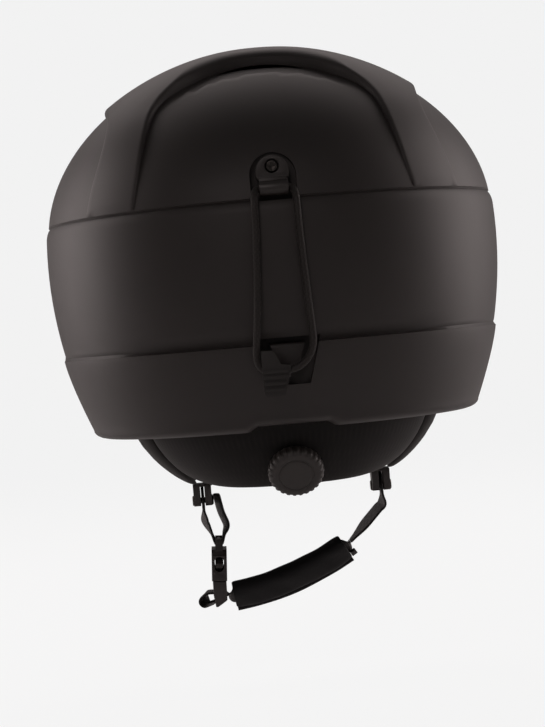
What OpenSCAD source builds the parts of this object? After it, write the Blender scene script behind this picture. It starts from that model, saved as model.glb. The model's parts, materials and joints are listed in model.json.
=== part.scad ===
// Snow helmet: hard shell, foam liner, comfort pads, nape dial fit system, goggle strap
// retainer and chin strap. The wearer's left is +X, the rear is +Y and the crown is +Z.
// The origin is the centre of the head opening, level with the shell's rear rim.

/* [Shell] */
// Width of the shell over the belt
shell_w = 222; // [214:1:230]
// Length of the shell from brow to nape
shell_l = 276; // [268:1:286]
// Height of the crown above the rear rim
crown_z = 185.5; // [182:0.5:189]
// Wall of the moulded shell
shell_wall = 2.8; // [2.2:0.1:3.2]
// How far the four legged crown stands proud of the panels between its legs
crown_lift = 3; // [1.5:0.1:3.5]
// Height of the lower crease at the rear
crease_low = 39; // [36:0.5:41]
// Height of the upper crease at the rear
crease_top = 103; // [101:0.5:104]
// How far the rim rises from the nape to the brow
brow_rise = 66; // [60:1:70]

/* [Liner and pads] */
// Width of the head cavity in the foam
cavity_w = 158; // [152:1:162]
// Length of the head cavity in the foam
cavity_l = 200; // [194:1:204]
// Height of the cavity's roof
cavity_z = 152; // [148:1:155]
// Thickness of the comfort pads inside the cavity
comfort_t = 6; // [4:0.5:8]
// Thickness of the nape pad
nape_t = 7; // [6:0.5:8]
// Thickness of the ear pads
ear_t = 9; // [7:0.5:10]
// Lowest point of the nape pad, below the rim
nape_drop = 27; // [25:0.5:28]

/* [Dial] */
// Diameter of the nape dial over its knurl
dial_d = 26; // [24:0.5:28]
// Height of the knob
dial_h = 6.2; // [5:0.1:8]
// Knurls round the knob
dial_knurls = 26; // [18:1:32]
// Tilt of the dial's axis below level
dial_tilt = 32; // [28:1:36]
// Tooth module of the pinion and the racks
tooth_m = 0.8; // [0.75:0.01:0.82]

/* [Goggle retainer] */
// Width of the strap bracket
bracket_w = 15.2; // [14:0.1:16]
// Diameter of the elastic cord
cord_d = 3.2; // [2.8:0.1:3.4]
// Height of the bracket screw above the rim
screw_z = 118.5; // [118:0.1:119]
// Height of the cord's hinge line in the bracket
loop_z = 108.5; // [108:0.1:109]

/* [Chin strap] */
// Width of the webbing
web_w = 14; // [12:0.5:15]
// Thickness of the webbing
web_t = 1.5; // [1.2:0.1:1.8]
// Distance of each strap divider from the middle
divider_x = 45; // [44:0.5:46]
// Width of the side release buckle
buckle_w = 25; // [23:0.5:27]
// Thickness of the side release buckle
buckle_t = 7.6; // [7:0.1:8.4]
// Width of the chin pad's sleeve
chin_w = 20; // [19:0.5:22]
// Thickness of the chin pad's sleeve
chin_t = 7.5; // [6.5:0.5:9]

/* [Hidden] */
$fn = 48;

shell_black = [0.13, 0.125, 0.125];
foam_black = [0.09, 0.09, 0.09];
cloth_black = [0.06, 0.06, 0.065];
nylon_black = [0.16, 0.14, 0.13];
steel = [0.45, 0.45, 0.45];

// Shared clearances: parts that only lie beside each other, and parts that slide
gap = 0.3;
slip = 0.25;
far = 220;

// Shell form
half_w = shell_w / 2;
long = shell_l / shell_w;
plan_n = 2.25;
belt_mid = 85;
belt_bow = 0.00246;
ledge = 1.2;
ledge_run = 1.6;
band_draw = 13;
brow_draw = 4;
rim_r = 4;
rim_turn = 6;
rim_lip = 2.6;
crease_low_brow = brow_rise + 14;
crease_top_rise = 5;
dome_mid = 98;
dome_p = 1.9;
dome_h = crown_z - crown_lift - dome_mid;
dome_hw = half_w - 1.55;
rise_from = 10;
rise_run = 125;
crown_foot = 0.6;
shell_steps = 72;
dome_rows = 10;
liner_steps = 48;
liner_gap = 0.6;

function mix(p, q, t) = p + (q - p) * t;
function unit(v) = v / norm(v);
function ease(t) = let (c = max(0, min(1, t))) c * c * (3 - 2 * c);
function bend(v, e) = sign(v) * pow(abs(v), e);
// Unit superellipse in plan at parameter angle a
function px(a, n) = bend(cos(a), 2 / n);
function py(a, n) = bend(sin(a), 2 / n);
function on_plan(a, row) = [row[0] * px(a, plan_n), row[0] * long * py(a, plan_n), row[1]];

// Share of the brow rise reached at angle a: 0 round the nape, 1 at the brow
function rise(a) = ease((rise_from - shell_l / 2 * py(a, plan_n)) / rise_run);
function rim_z(a) = brow_rise * rise(a);
function low_z(a) = mix(crease_low, crease_low_brow, rise(a));
function top_z(a) = crease_top + crease_top_rise * rise(a);
function belt_hw(z) = half_w - belt_bow * pow(z - belt_mid, 2);
function band_hw(a, w) =
  belt_hw(low_z(a)) + ledge - mix(band_draw, brow_draw, rise(a)) * pow(1 - w, 1.25);
function band_row(a, w, d) = [band_hw(a, w) - d, mix(rim_z(a), low_z(a), w)];
function belt_row(a, w, d) =
  let (z = mix(low_z(a) + ledge_run, top_z(a), w)) [belt_hw(z) - d, z];
function dome_foot(a) = asin(pow((top_z(a) + ledge_run - dome_mid) / dome_h, dome_p / 2));
function dome_row(a, w, d) =
  let (al = mix(dome_foot(a), 90, w))
  [dome_hw * pow(cos(al), 2 / dome_p) - d * cos(al),
    dome_mid + dome_h * pow(sin(al), 2 / dome_p) - d * sin(al)];
function rim_row(a, t) =
  let (w = rim_r / (low_z(a) - rim_z(a)))
  [band_hw(a, w) - rim_turn * (1 - sin(t)), rim_z(a) + rim_r * (1 - cos(t))];
function ring(f, steps = shell_steps) = [for (i = [0:steps - 1]) on_plan(360 * i / steps, f(360 * i / steps))];

// Closed solid through a stack of rings, closed by a fan to one point at each end
module stack(rings, first, last) {
  n = len(rings[0]);
  m = len(rings);
  points = concat([for (r = rings) each r], [first, last]);
  faces = concat(
    [for (j = [0:m - 2], i = [0:n - 1]) let (k = (i + 1) % n)
      each [[j * n + i, j * n + k, (j + 1) * n + k], [j * n + i, (j + 1) * n + k, (j + 1) * n + i]]],
    [for (i = [0:n - 1]) [n * m, (i + 1) % n, i]],
    [for (i = [0:n - 1]) [n * m + 1, (m - 1) * n + i, (m - 1) * n + (i + 1) % n]]);
  polyhedron(points = points, faces = faces, convexity = 10);
}

// Middle of a ring
function middle(r) = [for (k = [0:2]) (min([for (p = r) p[k]]) + max([for (p = r) p[k]])) / 2];
module sweep(rings) stack(rings, middle(rings[0]), middle(rings[len(rings) - 1]));

// Mesh solid: a free form part whose cuts are meshed with it
module moulded() resize([0, 0, 0]) children();

// Rings of the dome, from under the pole down to its foot, d inside the panel surface
function dome_rings(d) = [for (j = [dome_rows - 1:-1:0]) ring(function(a) dome_row(a, j / dome_rows, d))];
function pole(d) = [0, 0, dome_mid + dome_h - d];

function skin_rings() = concat(
  dome_rings(0),
  [for (w = [1, 0.66, 0.33, 0]) ring(function(a) belt_row(a, w, 0))],
  [for (w = [1, 0.75, 0.5, 0.25]) ring(function(a) band_row(a, w, 0))],
  [for (t = [90, 60, 30, 0]) ring(function(a) rim_row(a, t))]);

// Inner face of the shell, from its lip up to the pole, d inside the outer surface
function hollow_rings(d) = concat(
  [for (w = [0.2, 0.6, 1]) ring(function(a) let (r = band_row(a, w, d)) [r[0] - (w == 1 ? ledge : 0), r[1]])],
  [for (w = [0.5, 1]) ring(function(a) belt_row(a, w, d))],
  [for (j = [0:2:dome_rows - 1]) ring(function(a) dome_row(a, j / dome_rows, d))]);

module shell_wall_solid() stack(
  concat(skin_rings(),
    [for (lift = [0, 2.4]) ring(function(a) [rim_row(a, 0)[0] - rim_lip + lift / 4, rim_z(a) + lift])],
    hollow_rings(shell_wall)),
  pole(0), pole(shell_wall));

module shell_envelope(d) stack(
  concat(dome_rings(d),
    [for (w = [1, 0.5, 0]) ring(function(a) belt_row(a, w, d))],
    [for (w = [0.6, 0.2]) ring(function(a) band_row(a, w, d))]),
  pole(d), [0, 0, 30]);

// Crown cap: the panel surface lifted, from nearly nothing at the crease to the full lift
module crown_solid() difference() {
  stack([for (j = [dome_rows - 1:-1:0]) ring(function(a) dome_row(a, j / dome_rows,
      -mix(crown_foot, crown_lift, ease(2.2 * j / dome_rows))))],
    pole(-crown_lift), [0, 0, crease_top]);
  stack(dome_rings(1.2), pole(1.2), [0, 0, crease_top - 4]);
}

// Outline of the rear and front panels between the crown's legs, in x and z
panel_foot = 64.5;
panel_lean = 0.26;
panel_rise = 75.3;
panel_n = 3.1;
panel_steps = 24;
function panel_edge(t, d) =
  let (z = dome_mid + 6 + (panel_rise - d) * pow(sin(t), 2 / panel_n))
  [(panel_foot - d - panel_lean * (z - dome_mid - 6)) * bend(cos(t), 2 / panel_n), z];
module panel_outline(d = 0) polygon(concat([[-panel_foot + d, 90], [panel_foot - d, 90]],
  [for (i = [0:panel_steps]) panel_edge(180 * i / panel_steps, d)]));
// Outline of the side panels, in y and z
side_half = 93;
side_rise = 54;
side_n = 2.6;
module side_outline() polygon(concat([[-side_half, 90], [side_half, 90]],
  [for (i = [0:panel_steps]) let (t = 180 * i / panel_steps)
    [side_half * bend(cos(t), 2 / side_n), dome_mid + 6 + side_rise * pow(sin(t), 2 / side_n)]]));
// Vent under the crown's trailing edge: a trough above the panel's lip, open in its middle
lip_z = 168.8;
lip_drop = 0.001;
lip_power = 2.5;
lip_half = 70;
function lip_at(x) = lip_z - lip_drop * pow(abs(x), lip_power);
module below_lip() polygon(concat([[lip_half, 80], [-lip_half, 80]],
  [for (x = [-lip_half:7:lip_half]) [x, lip_at(x)]]));
vent_inset = 0.7;
trough_depth = 1.4;
vent_half = 22;
vent_h = 3.4;
vent_steps = 10;
module trough_outline() difference() {
  panel_outline(vent_inset);
  below_lip();
}
module vent_outline() polygon(concat(
  [for (i = [0:vent_steps]) let (x = vent_half * (2 * i / vent_steps - 1)) [x, lip_at(x) + 0.35]],
  [for (i = [vent_steps - 1:-1:1]) let (u = 2 * i / vent_steps - 1)
    [vent_half * u, lip_at(vent_half * u) + 0.35 + vent_h * (1 - u * u)]]));
// An outline in x and z, extruded from y_from to y_to
module along_y(y_from, y_to)
  translate([0, y_to, 0]) rotate([90, 0, 0]) linear_extrude(y_to - y_from) children();
module along_x(x_from, x_to)
  translate([x_from, 0, 0]) rotate([90, 0, 90]) linear_extrude(x_to - x_from) children();
module both_ends() {
  children();
  mirror([0, 1, 0]) children();
}

// Goggle retainer places
bracket_r = bracket_w / 2;
recess_half = bracket_r + 2.8;
recess_top = screw_z + 6.3;
rear_y = shell_l / 2;
recess_floor = rear_y - 11.5;
catch_top = crease_low + 3;
catch_bottom = 20.6;
catch_half_top = 15;
catch_half_bottom = 9.2;
catch_floor = rear_y - 16;
boss_wall = 3;
module recess_outline(d) {
  translate([0, recess_top - recess_half]) circle(r = recess_half + d);
  translate([-recess_half - d, crease_top - d])
    square([2 * (recess_half + d), recess_top - recess_half - crease_top + d]);
}
module catch_outline(d) polygon([
  [-catch_half_bottom - d, catch_bottom - d], [catch_half_bottom + d, catch_bottom - d],
  [catch_half_top + d, catch_top + d], [-catch_half_top - d, catch_top + d]]);
rear_notch = 2.6;
notch_half = 19.7;
notch_ramp = 5.3;
nut_hole_r = 2.1;

module outer_shell() color(shell_black) moulded() difference() {
  union() {
    shell_wall_solid();
    difference() {
      crown_solid();
      both_ends() along_y(0, far) panel_outline();
      for (s = [0, 1]) mirror([s, 0, 0]) along_x(20, far) side_outline();
    }
    intersection() {
      shell_envelope(1);
      union() {
        along_y(recess_floor - boss_wall, far) recess_outline(boss_wall);
        along_y(catch_floor - boss_wall, far) catch_outline(boss_wall);
      }
    }
  }
  along_y(recess_floor, far) recess_outline(0);
  along_y(catch_floor, far) catch_outline(0);
  both_ends() {
    difference() {
      along_y(30, far) trough_outline();
      shell_envelope(trough_depth);
    }
    along_y(30, far) vent_outline();
  }
  along_y(60, far) polygon([
    [-notch_half - notch_ramp, -1], [notch_half + notch_ramp, -1], [notch_half + notch_ramp, 0],
    [notch_half, rear_notch], [-notch_half, rear_notch], [-notch_half - notch_ramp, 0]]);
  translate([0, recess_floor + 1, screw_z]) rotate([90, 0, 0]) cylinder(r = nut_hole_r, h = 12, $fn = 24);
}

// Head cavity in the foam: straight walls, then a dome
cavity_hw = cavity_w / 2;
cavity_long = cavity_l / cavity_w;
cavity_spring = 20;
cavity_n = 2.4;
cavity_h = cavity_z - cavity_spring;
foam_inset = 3;
cavity_rows = 8;
function cavity_hw_at(z) =
  z < cavity_spring ? cavity_hw
  : cavity_hw * pow(max(0, 1 - pow((z - cavity_spring) / cavity_h, cavity_n)), 1 / cavity_n);
function on_cavity(a, z, d) =
  let (h = cavity_hw_at(z))
  [(h - d) * px(a, plan_n), (h * cavity_long - d) * py(a, plan_n), z];
function cavity_foot(a) = asin(pow(max(0, rim_z(a) + foam_inset - cavity_spring) / cavity_h, cavity_n / 2));
function cavity_ring(w, d) = [for (i = [0:liner_steps - 1])
  let (a = 360 * i / liner_steps, al = mix(cavity_foot(a), 90, w),
    h = cavity_hw * pow(cos(al), 2 / cavity_n), z = cavity_spring + cavity_h * pow(sin(al), 2 / cavity_n))
  [(h - d * cos(al)) * px(a, plan_n), (h * cavity_long - d * cos(al)) * py(a, plan_n), z - d * sin(al)]];
slot_half = 20;
slot_h = 7;
slot_tilt = 42;
slot_y = 72;
slot_z = 169;

module foam_liner() color(foam_black) moulded() difference() {
  stack(
    concat(
      [for (j = [dome_rows - 2:-2:2])
        ring(function(a) dome_row(a, j / dome_rows, shell_wall + liner_gap), liner_steps)],
      [ring(function(a) dome_row(a, 0, shell_wall + liner_gap), liner_steps)],
      [ring(function(a) belt_row(a, 0.5, shell_wall + liner_gap), liner_steps)],
      [for (w = [1, 0.65, 0.3])
        ring(function(a) band_row(a, w, shell_wall + liner_gap + (w == 1 ? ledge : 0)), liner_steps)],
      [ring(function(a) [rim_row(a, 0)[0] - rim_lip - 0.8, rim_z(a) + foam_inset], liner_steps)],
      [ring(function(a) [cavity_hw + 2, rim_z(a) + foam_inset], liner_steps)],
      [[for (p = cavity_ring(0, 0))
        [p[0], p[1], max(p[2] == cavity_spring ? foam_inset + 2 : p[2] + 2, foam_inset + 2)]]],
      [for (j = [0:cavity_rows - 1]) cavity_ring(0.08 + 0.92 * j / cavity_rows, 0)]),
    pole(shell_wall + liner_gap), [0, 0, cavity_z]);
  along_y(recess_floor - boss_wall - gap - 4, far) recess_outline(boss_wall + gap);
  along_y(catch_floor - boss_wall - gap, far) catch_outline(boss_wall + gap);
  both_ends() translate([0, slot_y, slot_z]) rotate([-slot_tilt, 0, 0])
    cube([2 * slot_half, slot_h, 90], center = true);
}

// Cushions: a rounded section carried round the head at parameter angles a0 to a1.
// place(a, z, d) is a point on the surface that the pad lies on, d inside it.
pad_loop = 16;
function pad_rings(place, a0, a1, z0, z1, t, steps, d0, end_n = 6) = [for (i = [0:steps])
  let (u = i / steps, v = 2 * u - 1, a = mix(a0, a1, 0.5 + 0.5 * bend(v, 0.85)),
    e = max(0.3, sqrt(1 - pow(abs(v), end_n))), zm = (z0(a) + z1(a)) / 2, zh = (z1(a) - z0(a)) / 2)
  [for (k = [0:pad_loop - 1])
    let (b = -360 * k / pad_loop, s = bend(cos(b), 0.55), q = bend(sin(b), 0.75))
    place(a, zm + zh * s * mix(1, e, 0.45), d0 + t / 2 * (1 - q * e))]];

crown_pad_r = 44;
roof_gap = 0.9;
crown_pad_rows = 5;
// Height of the cavity's roof over a point at share r of the cavity's half width
function roof(r) = cavity_spring + cavity_h * pow(1 - pow(r, cavity_n), 1 / cavity_n);
function crown_ring(r, d) = [for (i = [0:2:shell_steps - 1])
  let (a = 360 * i / shell_steps, k = r * crown_pad_r)
  [k * px(a, plan_n), k * cavity_long * py(a, plan_n), roof(k / cavity_hw) - d]];
module crown_pad() color(cloth_black) stack(
  concat([for (j = [1:crown_pad_rows]) crown_ring(j / crown_pad_rows, roof_gap)],
    [crown_ring(1.03, comfort_t / 2)],
    [for (j = [crown_pad_rows:-1:1]) crown_ring(0.97 * j / crown_pad_rows, comfort_t)]),
  [0, 0, cavity_z - roof_gap], [0, 0, cavity_z - comfort_t]);

cavity_place = function(a, z, d) on_cavity(a, z, d);
module comfort_pad(a0, a1, z0, z1, steps) color(cloth_black)
  sweep(pad_rings(cavity_place, a0, a1, z0, z1, comfort_t, steps, 0.6));
brow_pad_h = 24;
module brow_pad() comfort_pad(-148, -32, function(a) rim_z(a) + 5, function(a) rim_z(a) + 5 + brow_pad_h, 26);
side_pad_low = 62;
side_pad_high = 104;
module side_pad_left() comfort_pad(-22, 34, function(a) side_pad_low, function(a) side_pad_high, 14);
module side_pad_right() mirror([1, 0, 0]) side_pad_left();
rear_pad_low = 38;
rear_pad_high = 82;
module rear_pad() comfort_pad(52, 128, function(a) rear_pad_low, function(a) rear_pad_high, 20);

// Hanging pads curl inwards below the rim, more at the ears than at the nape
bowl_top = 12;
bowl_n = plan_n;
bowl_run = 40;
bowl_in_x = 27;
bowl_in_y = 14;
function bowl_t(z) = pow(max(0, (bowl_top - z) / bowl_run), 1.9);
function on_bowl(a, z, d) = [
  (cavity_hw - 0.5 - bowl_in_x * bowl_t(z) - d) * px(a, bowl_n),
  (cavity_l / 2 - 0.5 - bowl_in_y * bowl_t(z) - d) * py(a, bowl_n), z];
bowl_place = function(a, z, d) on_bowl(a, z, d);
// Outward normal of a surface given as place(a, z, d)
function face_out(place, a, z) =
  unit(cross(place(a + 1, z, 0) - place(a - 1, z, 0), place(a, z + 1, 0) - place(a, z - 1, 0)));
pad_top = 14;
nape_from = 26;
dial_seat_y = cavity_l / 2 - 0.5 - bowl_in_y * bowl_t(-18.5);
dial_seat_z = -18.5;
hub_r = 6.4;
bar_relief = 33;

module nape_pad() color(cloth_black) moulded() difference() {
  sweep(pad_rings(bowl_place, nape_from, 180 - nape_from, function(a) -nape_drop + 4 * pow(abs(a - 90) / 64, 4),
    function(a) pad_top, nape_t, 34, gap));
  dial_place() translate([0, 0, -40]) cylinder(r = hub_r + 0.5, h = 60, $fn = 24);
  dial_place() translate([-housing_half - gap, -housing_depth - gap, housing_back - 6])
    cube([2 * (housing_half + gap), 2 * (housing_depth + gap), -housing_back + 6 + cover_face + gap]);
  dial_place() translate([-bar_relief, -housing_depth - gap, housing_back - 6])
    cube([2 * bar_relief, 2 * (housing_depth + gap), -housing_back + 6 + channel_top + gap]);
}

ear_from = -34;
ear_to = 23.5;
function ear_low(a) = -26.5 + 36 * ease((-8 - a) / 26) + 4 * ease((a - 12) / 14);
function ear_high(a) = pad_top + rim_z(a);
module ear_pad_left() color(cloth_black)
  sweep(pad_rings(bowl_place, ear_from, ear_to,
    function(a) ear_low(a), function(a) ear_high(a), ear_t, 22, gap));
module ear_pad_right() mirror([1, 0, 0]) ear_pad_left();

// Nape dial: local +Z points out of the nape along the dial's axis, local +Y down the pad
module dial_place() translate([0, dial_seat_y + 0.8, dial_seat_z]) rotate([-90 - dial_tilt, 0, 0]) children();
knob_base = 0.4;
cover_face = -10;
cover_t = 1.7;
channel_top = cover_face - cover_t;
channel_h = 4;
floor_t = 2.5;
housing_back = channel_top - channel_h - floor_t;
housing_half = 18.5;
housing_depth = 9;
wall_t = 1;
shaft_r = 4;
run_fit = 0.05;
spigot_r = 2.95;
spigot_h = 3.4;
pinion_teeth = 8;
pitch_r = tooth_m * pinion_teeth / 2;
rack_pitch = PI * tooth_m;
screw_r = 1.2;

module dial_housing() color(nylon_black) dial_place() difference() {
  translate([-housing_half, -housing_depth, housing_back])
    cube([2 * housing_half, 2 * housing_depth, channel_top - housing_back]);
  translate([-housing_half - 1, -housing_depth + wall_t, channel_top - channel_h])
    cube([2 * housing_half + 2, 2 * (housing_depth - wall_t), channel_h + 1]);
  translate([0, 0, housing_back - 1]) cylinder(r = 2.6, h = floor_t + 2);
}

module housing_cover() color(nylon_black) dial_place() difference() {
  union() {
    translate([-housing_half, -housing_depth, channel_top])
      cube([2 * housing_half, 2 * housing_depth, cover_t]);
    translate([0, 0, channel_top]) cylinder(r = hub_r, h = -channel_top + knob_base - 0.6);
  }
  translate([0, 0, channel_top - 1]) cylinder(r = shaft_r + run_fit, h = 20);
}

knurl_depth = 1.1;
function knurl(i) = dial_d / 2 - knurl_depth * (i % 4 == 0 || i % 4 == 3 ? 1 : 0);
module dial_knob() color(nylon_black) dial_place() difference() {
  intersection() {
    translate([0, 0, knob_base]) linear_extrude(dial_h)
      polygon([for (i = [0:4 * dial_knurls - 1]) let (a = 90 * i / dial_knurls)
        knurl(i) * [cos(a), sin(a)]]);
    rotate_extrude() polygon([[0, knob_base], [dial_d / 2 - 0.8, knob_base], [dial_d / 2, knob_base + 0.8],
      [dial_d / 2, knob_base + dial_h - 1.9], [dial_d / 2 - 1.6, knob_base + dial_h - 0.5],
      [dial_d / 2 - 3.2, knob_base + dial_h], [0, knob_base + dial_h]]);
  }
  translate([0, 0, knob_base - 1]) cylinder(r = spigot_r + 0.05, h = spigot_h + 1);
  translate([0, 0, knob_base + dial_h - 0.5]) rotate_extrude()
    polygon([[dial_d / 2 - 5.4, 0], [dial_d / 2 - 4.6, 0], [dial_d / 2 - 4.4, 1], [dial_d / 2 - 5.6, 1]]);
}

// One tooth of the pinion at angle a, as points across it and up from the pitch line, in modules
tooth_points = [[-1, -1.25], [-0.48, 0], [-0.22, 1], [0.22, 1], [0.48, 0], [1, -1.25]];
function tooth(a) = [for (p = tooth_points)
  let (r = pitch_r + p[1] * tooth_m, t = p[0] * tooth_m) [r * cos(a) - t * sin(a), r * sin(a) + t * cos(a)]];
module dial_pinion() color(nylon_black) dial_place() difference() {
  union() {
    translate([0, 0, channel_top - channel_h + 0.3]) linear_extrude(channel_h - 0.5)
      polygon([for (k = [0:pinion_teeth - 1]) each tooth(360 * k / pinion_teeth)]);
    translate([0, 0, channel_top - 0.2]) cylinder(r = shaft_r, h = -channel_top + knob_base - 0.2);
    translate([0, 0, knob_base - 0.4]) cylinder(r = spigot_r, h = spigot_h);
  }
  translate([0, 0, channel_top - channel_h]) cylinder(r = screw_r, h = 18);
}
module dial_screw() color(steel) dial_place() {
  translate([0, 0, channel_top - channel_h - 1.3]) cylinder(r = 2.3, h = 1.6);
  translate([0, 0, channel_top - channel_h]) cylinder(r = screw_r, h = 17);
}

// Toothed bands: a straight rack in the housing and an arm along the inside of the pads
bar_h = 3.2;
bar_root = pitch_r + 1.25 * tooth_m;
bar_out = housing_depth - wall_t - slip;
bar_in = 9;
arm_from = 27;
arm_h = 8;
arm_t = 1.6;
arm_gap = 1.3;
rack_n = 7;
arm_end = 26;
module rack_bar() {
  translate([-bar_in, bar_root, 0]) cube([bar_in + arm_from + 1, bar_out - bar_root, bar_h]);
  linear_extrude(bar_h) for (k = [-3:rack_n - 4])
    polygon([for (p = tooth_points) [(k + 0.5) * rack_pitch + p[0] * tooth_m,
      min(bar_root + 0.1, pitch_r - p[1] * tooth_m + (p[1] < 0 ? 0.2 : 0))]]);
}
// Parameter angle at which the pad's inner face, at height z, is x from the middle
function bowl_angle(x, z, d) = acos(pow(x / (cavity_hw - 0.5 - bowl_in_x * bowl_t(z) - d), bowl_n / 2));
module band_arm(z) {
  d = nape_t + arm_gap;
  a0 = bowl_angle(arm_from - 0.5, z, d);
  pts = [for (i = [0:10]) let (a = mix(a0, arm_end, i / 10)) on_bowl(a, z, d)];
  back = [for (i = [10:-1:0]) let (a = mix(a0, arm_end, i / 10)) on_bowl(a, z, d + arm_t)];
  translate([0, 0, z]) linear_extrude(arm_h) polygon([for (p = concat(pts, back)) [p[0], p[1]]]);
}
left_arm_z = -20;
right_arm_z = -10;
// A web that joins an arm to its rack: its outline, in y and z, from the arm's lower edge
module band_web(y, z, outline) along_x(arm_from - 1.1, arm_from + 1.2) translate([y, z]) polygon(outline);
module band_left() color(nylon_black) {
  dial_place() translate([0, 0, channel_top - 3.6]) rack_bar();
  band_arm(left_arm_z);
  band_web(cavity_l / 2 - 27.5, left_arm_z, [[0, 0], [1.4, 0], [5, 5.5], [3.5, 7.5], [0, 8]]);
}
module band_right() color(nylon_black) {
  dial_place() translate([0, 0, channel_top - 3.6]) rotate([0, 0, 180]) rack_bar();
  mirror([1, 0, 0]) {
    band_arm(right_arm_z);
    band_web(cavity_l / 2 - 20.8, right_arm_z, [[0, 0], [1.4, 0], [4.3, 1.7], [3.8, 6], [1.8, 6.5], [0, 6.5]]);
  }
}

// Hanger that carries the dial from the rear wall of the foam, over the top of the nape pad
hanger_half = 9;
hanger_t = 1.8;
hanger_top = 30;
function housing_top(lz) = [
  dial_seat_y + 0.8 + lz * cos(dial_tilt) + housing_depth * sin(dial_tilt),
  dial_seat_z - lz * sin(dial_tilt) + housing_depth * cos(dial_tilt)];
module dial_hanger() color(nylon_black) along_x(-hanger_half, hanger_half)
  let (w = cavity_l / 2 - 0.9, s = pad_top + 1, inner = cavity_l / 2 - nape_t - 4.5,
    n = housing_top(channel_top - 0.6), m = housing_top(channel_top - 3.8))
  polygon([[w - 1.2, hanger_top], [w - 1.2 - hanger_t, hanger_top], [w - hanger_t, s + hanger_t],
    [inner - hanger_t, s + hanger_t], m, n, [inner, s], [w, s], [w, cavity_spring]]);

// Goggle strap retainer
hinge_y = rear_y - 4;
barrel_r = 3.4;
barrel_half = 6.5;
plate_back = recess_floor;
head_z = screw_z - 2.8;
fold_z = head_z - 2.8;
module strap_bracket() color(nylon_black) difference() {
  union() {
    along_y(plate_back, plate_back + 4.2) intersection() {
      translate([0, head_z]) circle(r = bracket_r);
      translate([-bracket_r, fold_z]) square([bracket_w, 2 * bracket_r]);
    }
    translate([-barrel_half, plate_back, loop_z - 2.6]) cube([2 * barrel_half, hinge_y - plate_back, 5.2]);
    translate([-barrel_half, plate_back, loop_z]) cube([2 * barrel_half, 4.6, fold_z + 0.5 - loop_z]);
    translate([-barrel_half, hinge_y, loop_z]) rotate([0, 90, 0]) cylinder(r = barrel_r, h = 2 * barrel_half);
  }
  translate([-10, hinge_y, loop_z]) rotate([0, 90, 0]) cylinder(r = cord_d / 2 + 0.2, h = 20);
  translate([0, plate_back - 1, screw_z]) rotate([-90, 0, 0]) cylinder(r = 1.6, h = 8);
  translate([0, plate_back + 2.8, screw_z]) rotate([-90, 0, 0]) cylinder(r = 3.2, h = 8);
}
module bracket_screw() color(steel) difference() {
  union() {
    translate([0, plate_back + 2.8, screw_z]) rotate([-90, 0, 0]) cylinder(r1 = 3, r2 = 2.4, h = 1.5);
    translate([0, plate_back - 6, screw_z]) rotate([-90, 0, 0]) cylinder(r = 1.5, h = 9);
  }
  for (t = [0, 90])
    translate([0, plate_back + 4, screw_z]) rotate([0, t, 0]) cube([3, 1.2, 0.7], center = true);
}
module bracket_nut() color(steel) difference() {
  union() {
    translate([0, plate_back - boss_wall, screw_z]) rotate([90, 0, 0]) cylinder(r = 5, h = 1.2);
    translate([0, plate_back - 0.4, screw_z]) rotate([90, 0, 0])
      cylinder(r = nut_hole_r - 0.05, h = boss_wall + 3);
  }
  translate([0, plate_back + 1, screw_z]) rotate([90, 0, 0]) cylinder(r = 1.5, h = 12);
}

// Elastic cord: points of its route, chosen by hand, from the bracket down both legs to the tab,
// as x, the distance behind the shell's rearmost point, and z
cord_route = [
  [0, -4, 108.5], [5.8, -4, 108.5], [8.2, -3, 107.8], [9.2, 0.1, 105],
  [9.4, 2.2, 101], [9.7, 2.6, 90], [10.6, 2.4, 75], [12, 1.6, 56], [13.4, -0.2, 43],
  [14.1, -1.8, 36.4], [13.9, -2.3, 31.8], [12, -2.2, 28.6], [8.6, -2, 27.5],
  [4.5, -2, 27.4], [0.4, -2, 27.6], [-4.2, -1.9, 28.6], [-8.6, -1.5, 32.2],
  [-11.3, -0.8, 38], [-11.4, 0, 46], [-10.6, 1.6, 62], [-9.9, 2.4, 78],
  [-9.5, 2.6, 92], [-9.4, 2.2, 101], [-9.2, 0.1, 105], [-8.2, -3, 107.8],
  [-5.8, -4, 108.5]];
cord_sides = 8;
cord_split = 3;
// Catmull-Rom curve from q to r
function spline(p, q, r, s, t) = 0.5 * (2 * q + (r - p) * t + (2 * p - 5 * q + 4 * r - s) * t * t
  + (3 * q - p - 3 * r + s) * t * t * t);
module elastic_loop() color(shell_black) {
  n = len(cord_route);
  path = [for (i = [0:n - 1], k = [0:cord_split - 1])
    [0, rear_y, 0] + spline(cord_route[(i + n - 1) % n], cord_route[i], cord_route[(i + 1) % n],
      cord_route[(i + 2) % n], k / cord_split)];
  m = len(path);
  r = cord_d / 2 / cos(180 / cord_sides);
  rings = [for (i = [0:m - 1])
    let (t = unit(path[(i + 1) % m] - path[(i + m - 1) % m]), u = unit(cross(t, [0, 1, 0])), v = cross(t, u))
    [for (k = [0:cord_sides - 1]) let (b = 360 * k / cord_sides) path[i] + r * (cos(b) * u + sin(b) * v)]];
  polyhedron(points = [for (g = rings) each g], convexity = 6,
    faces = [for (j = [0:m - 1], i = [0:cord_sides - 1]) let (k = (i + 1) % cord_sides, l = (j + 1) % m)
      each [[j * cord_sides + i, l * cord_sides + k, j * cord_sides + k],
        [j * cord_sides + i, l * cord_sides + i, l * cord_sides + k]]]);
}

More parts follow.
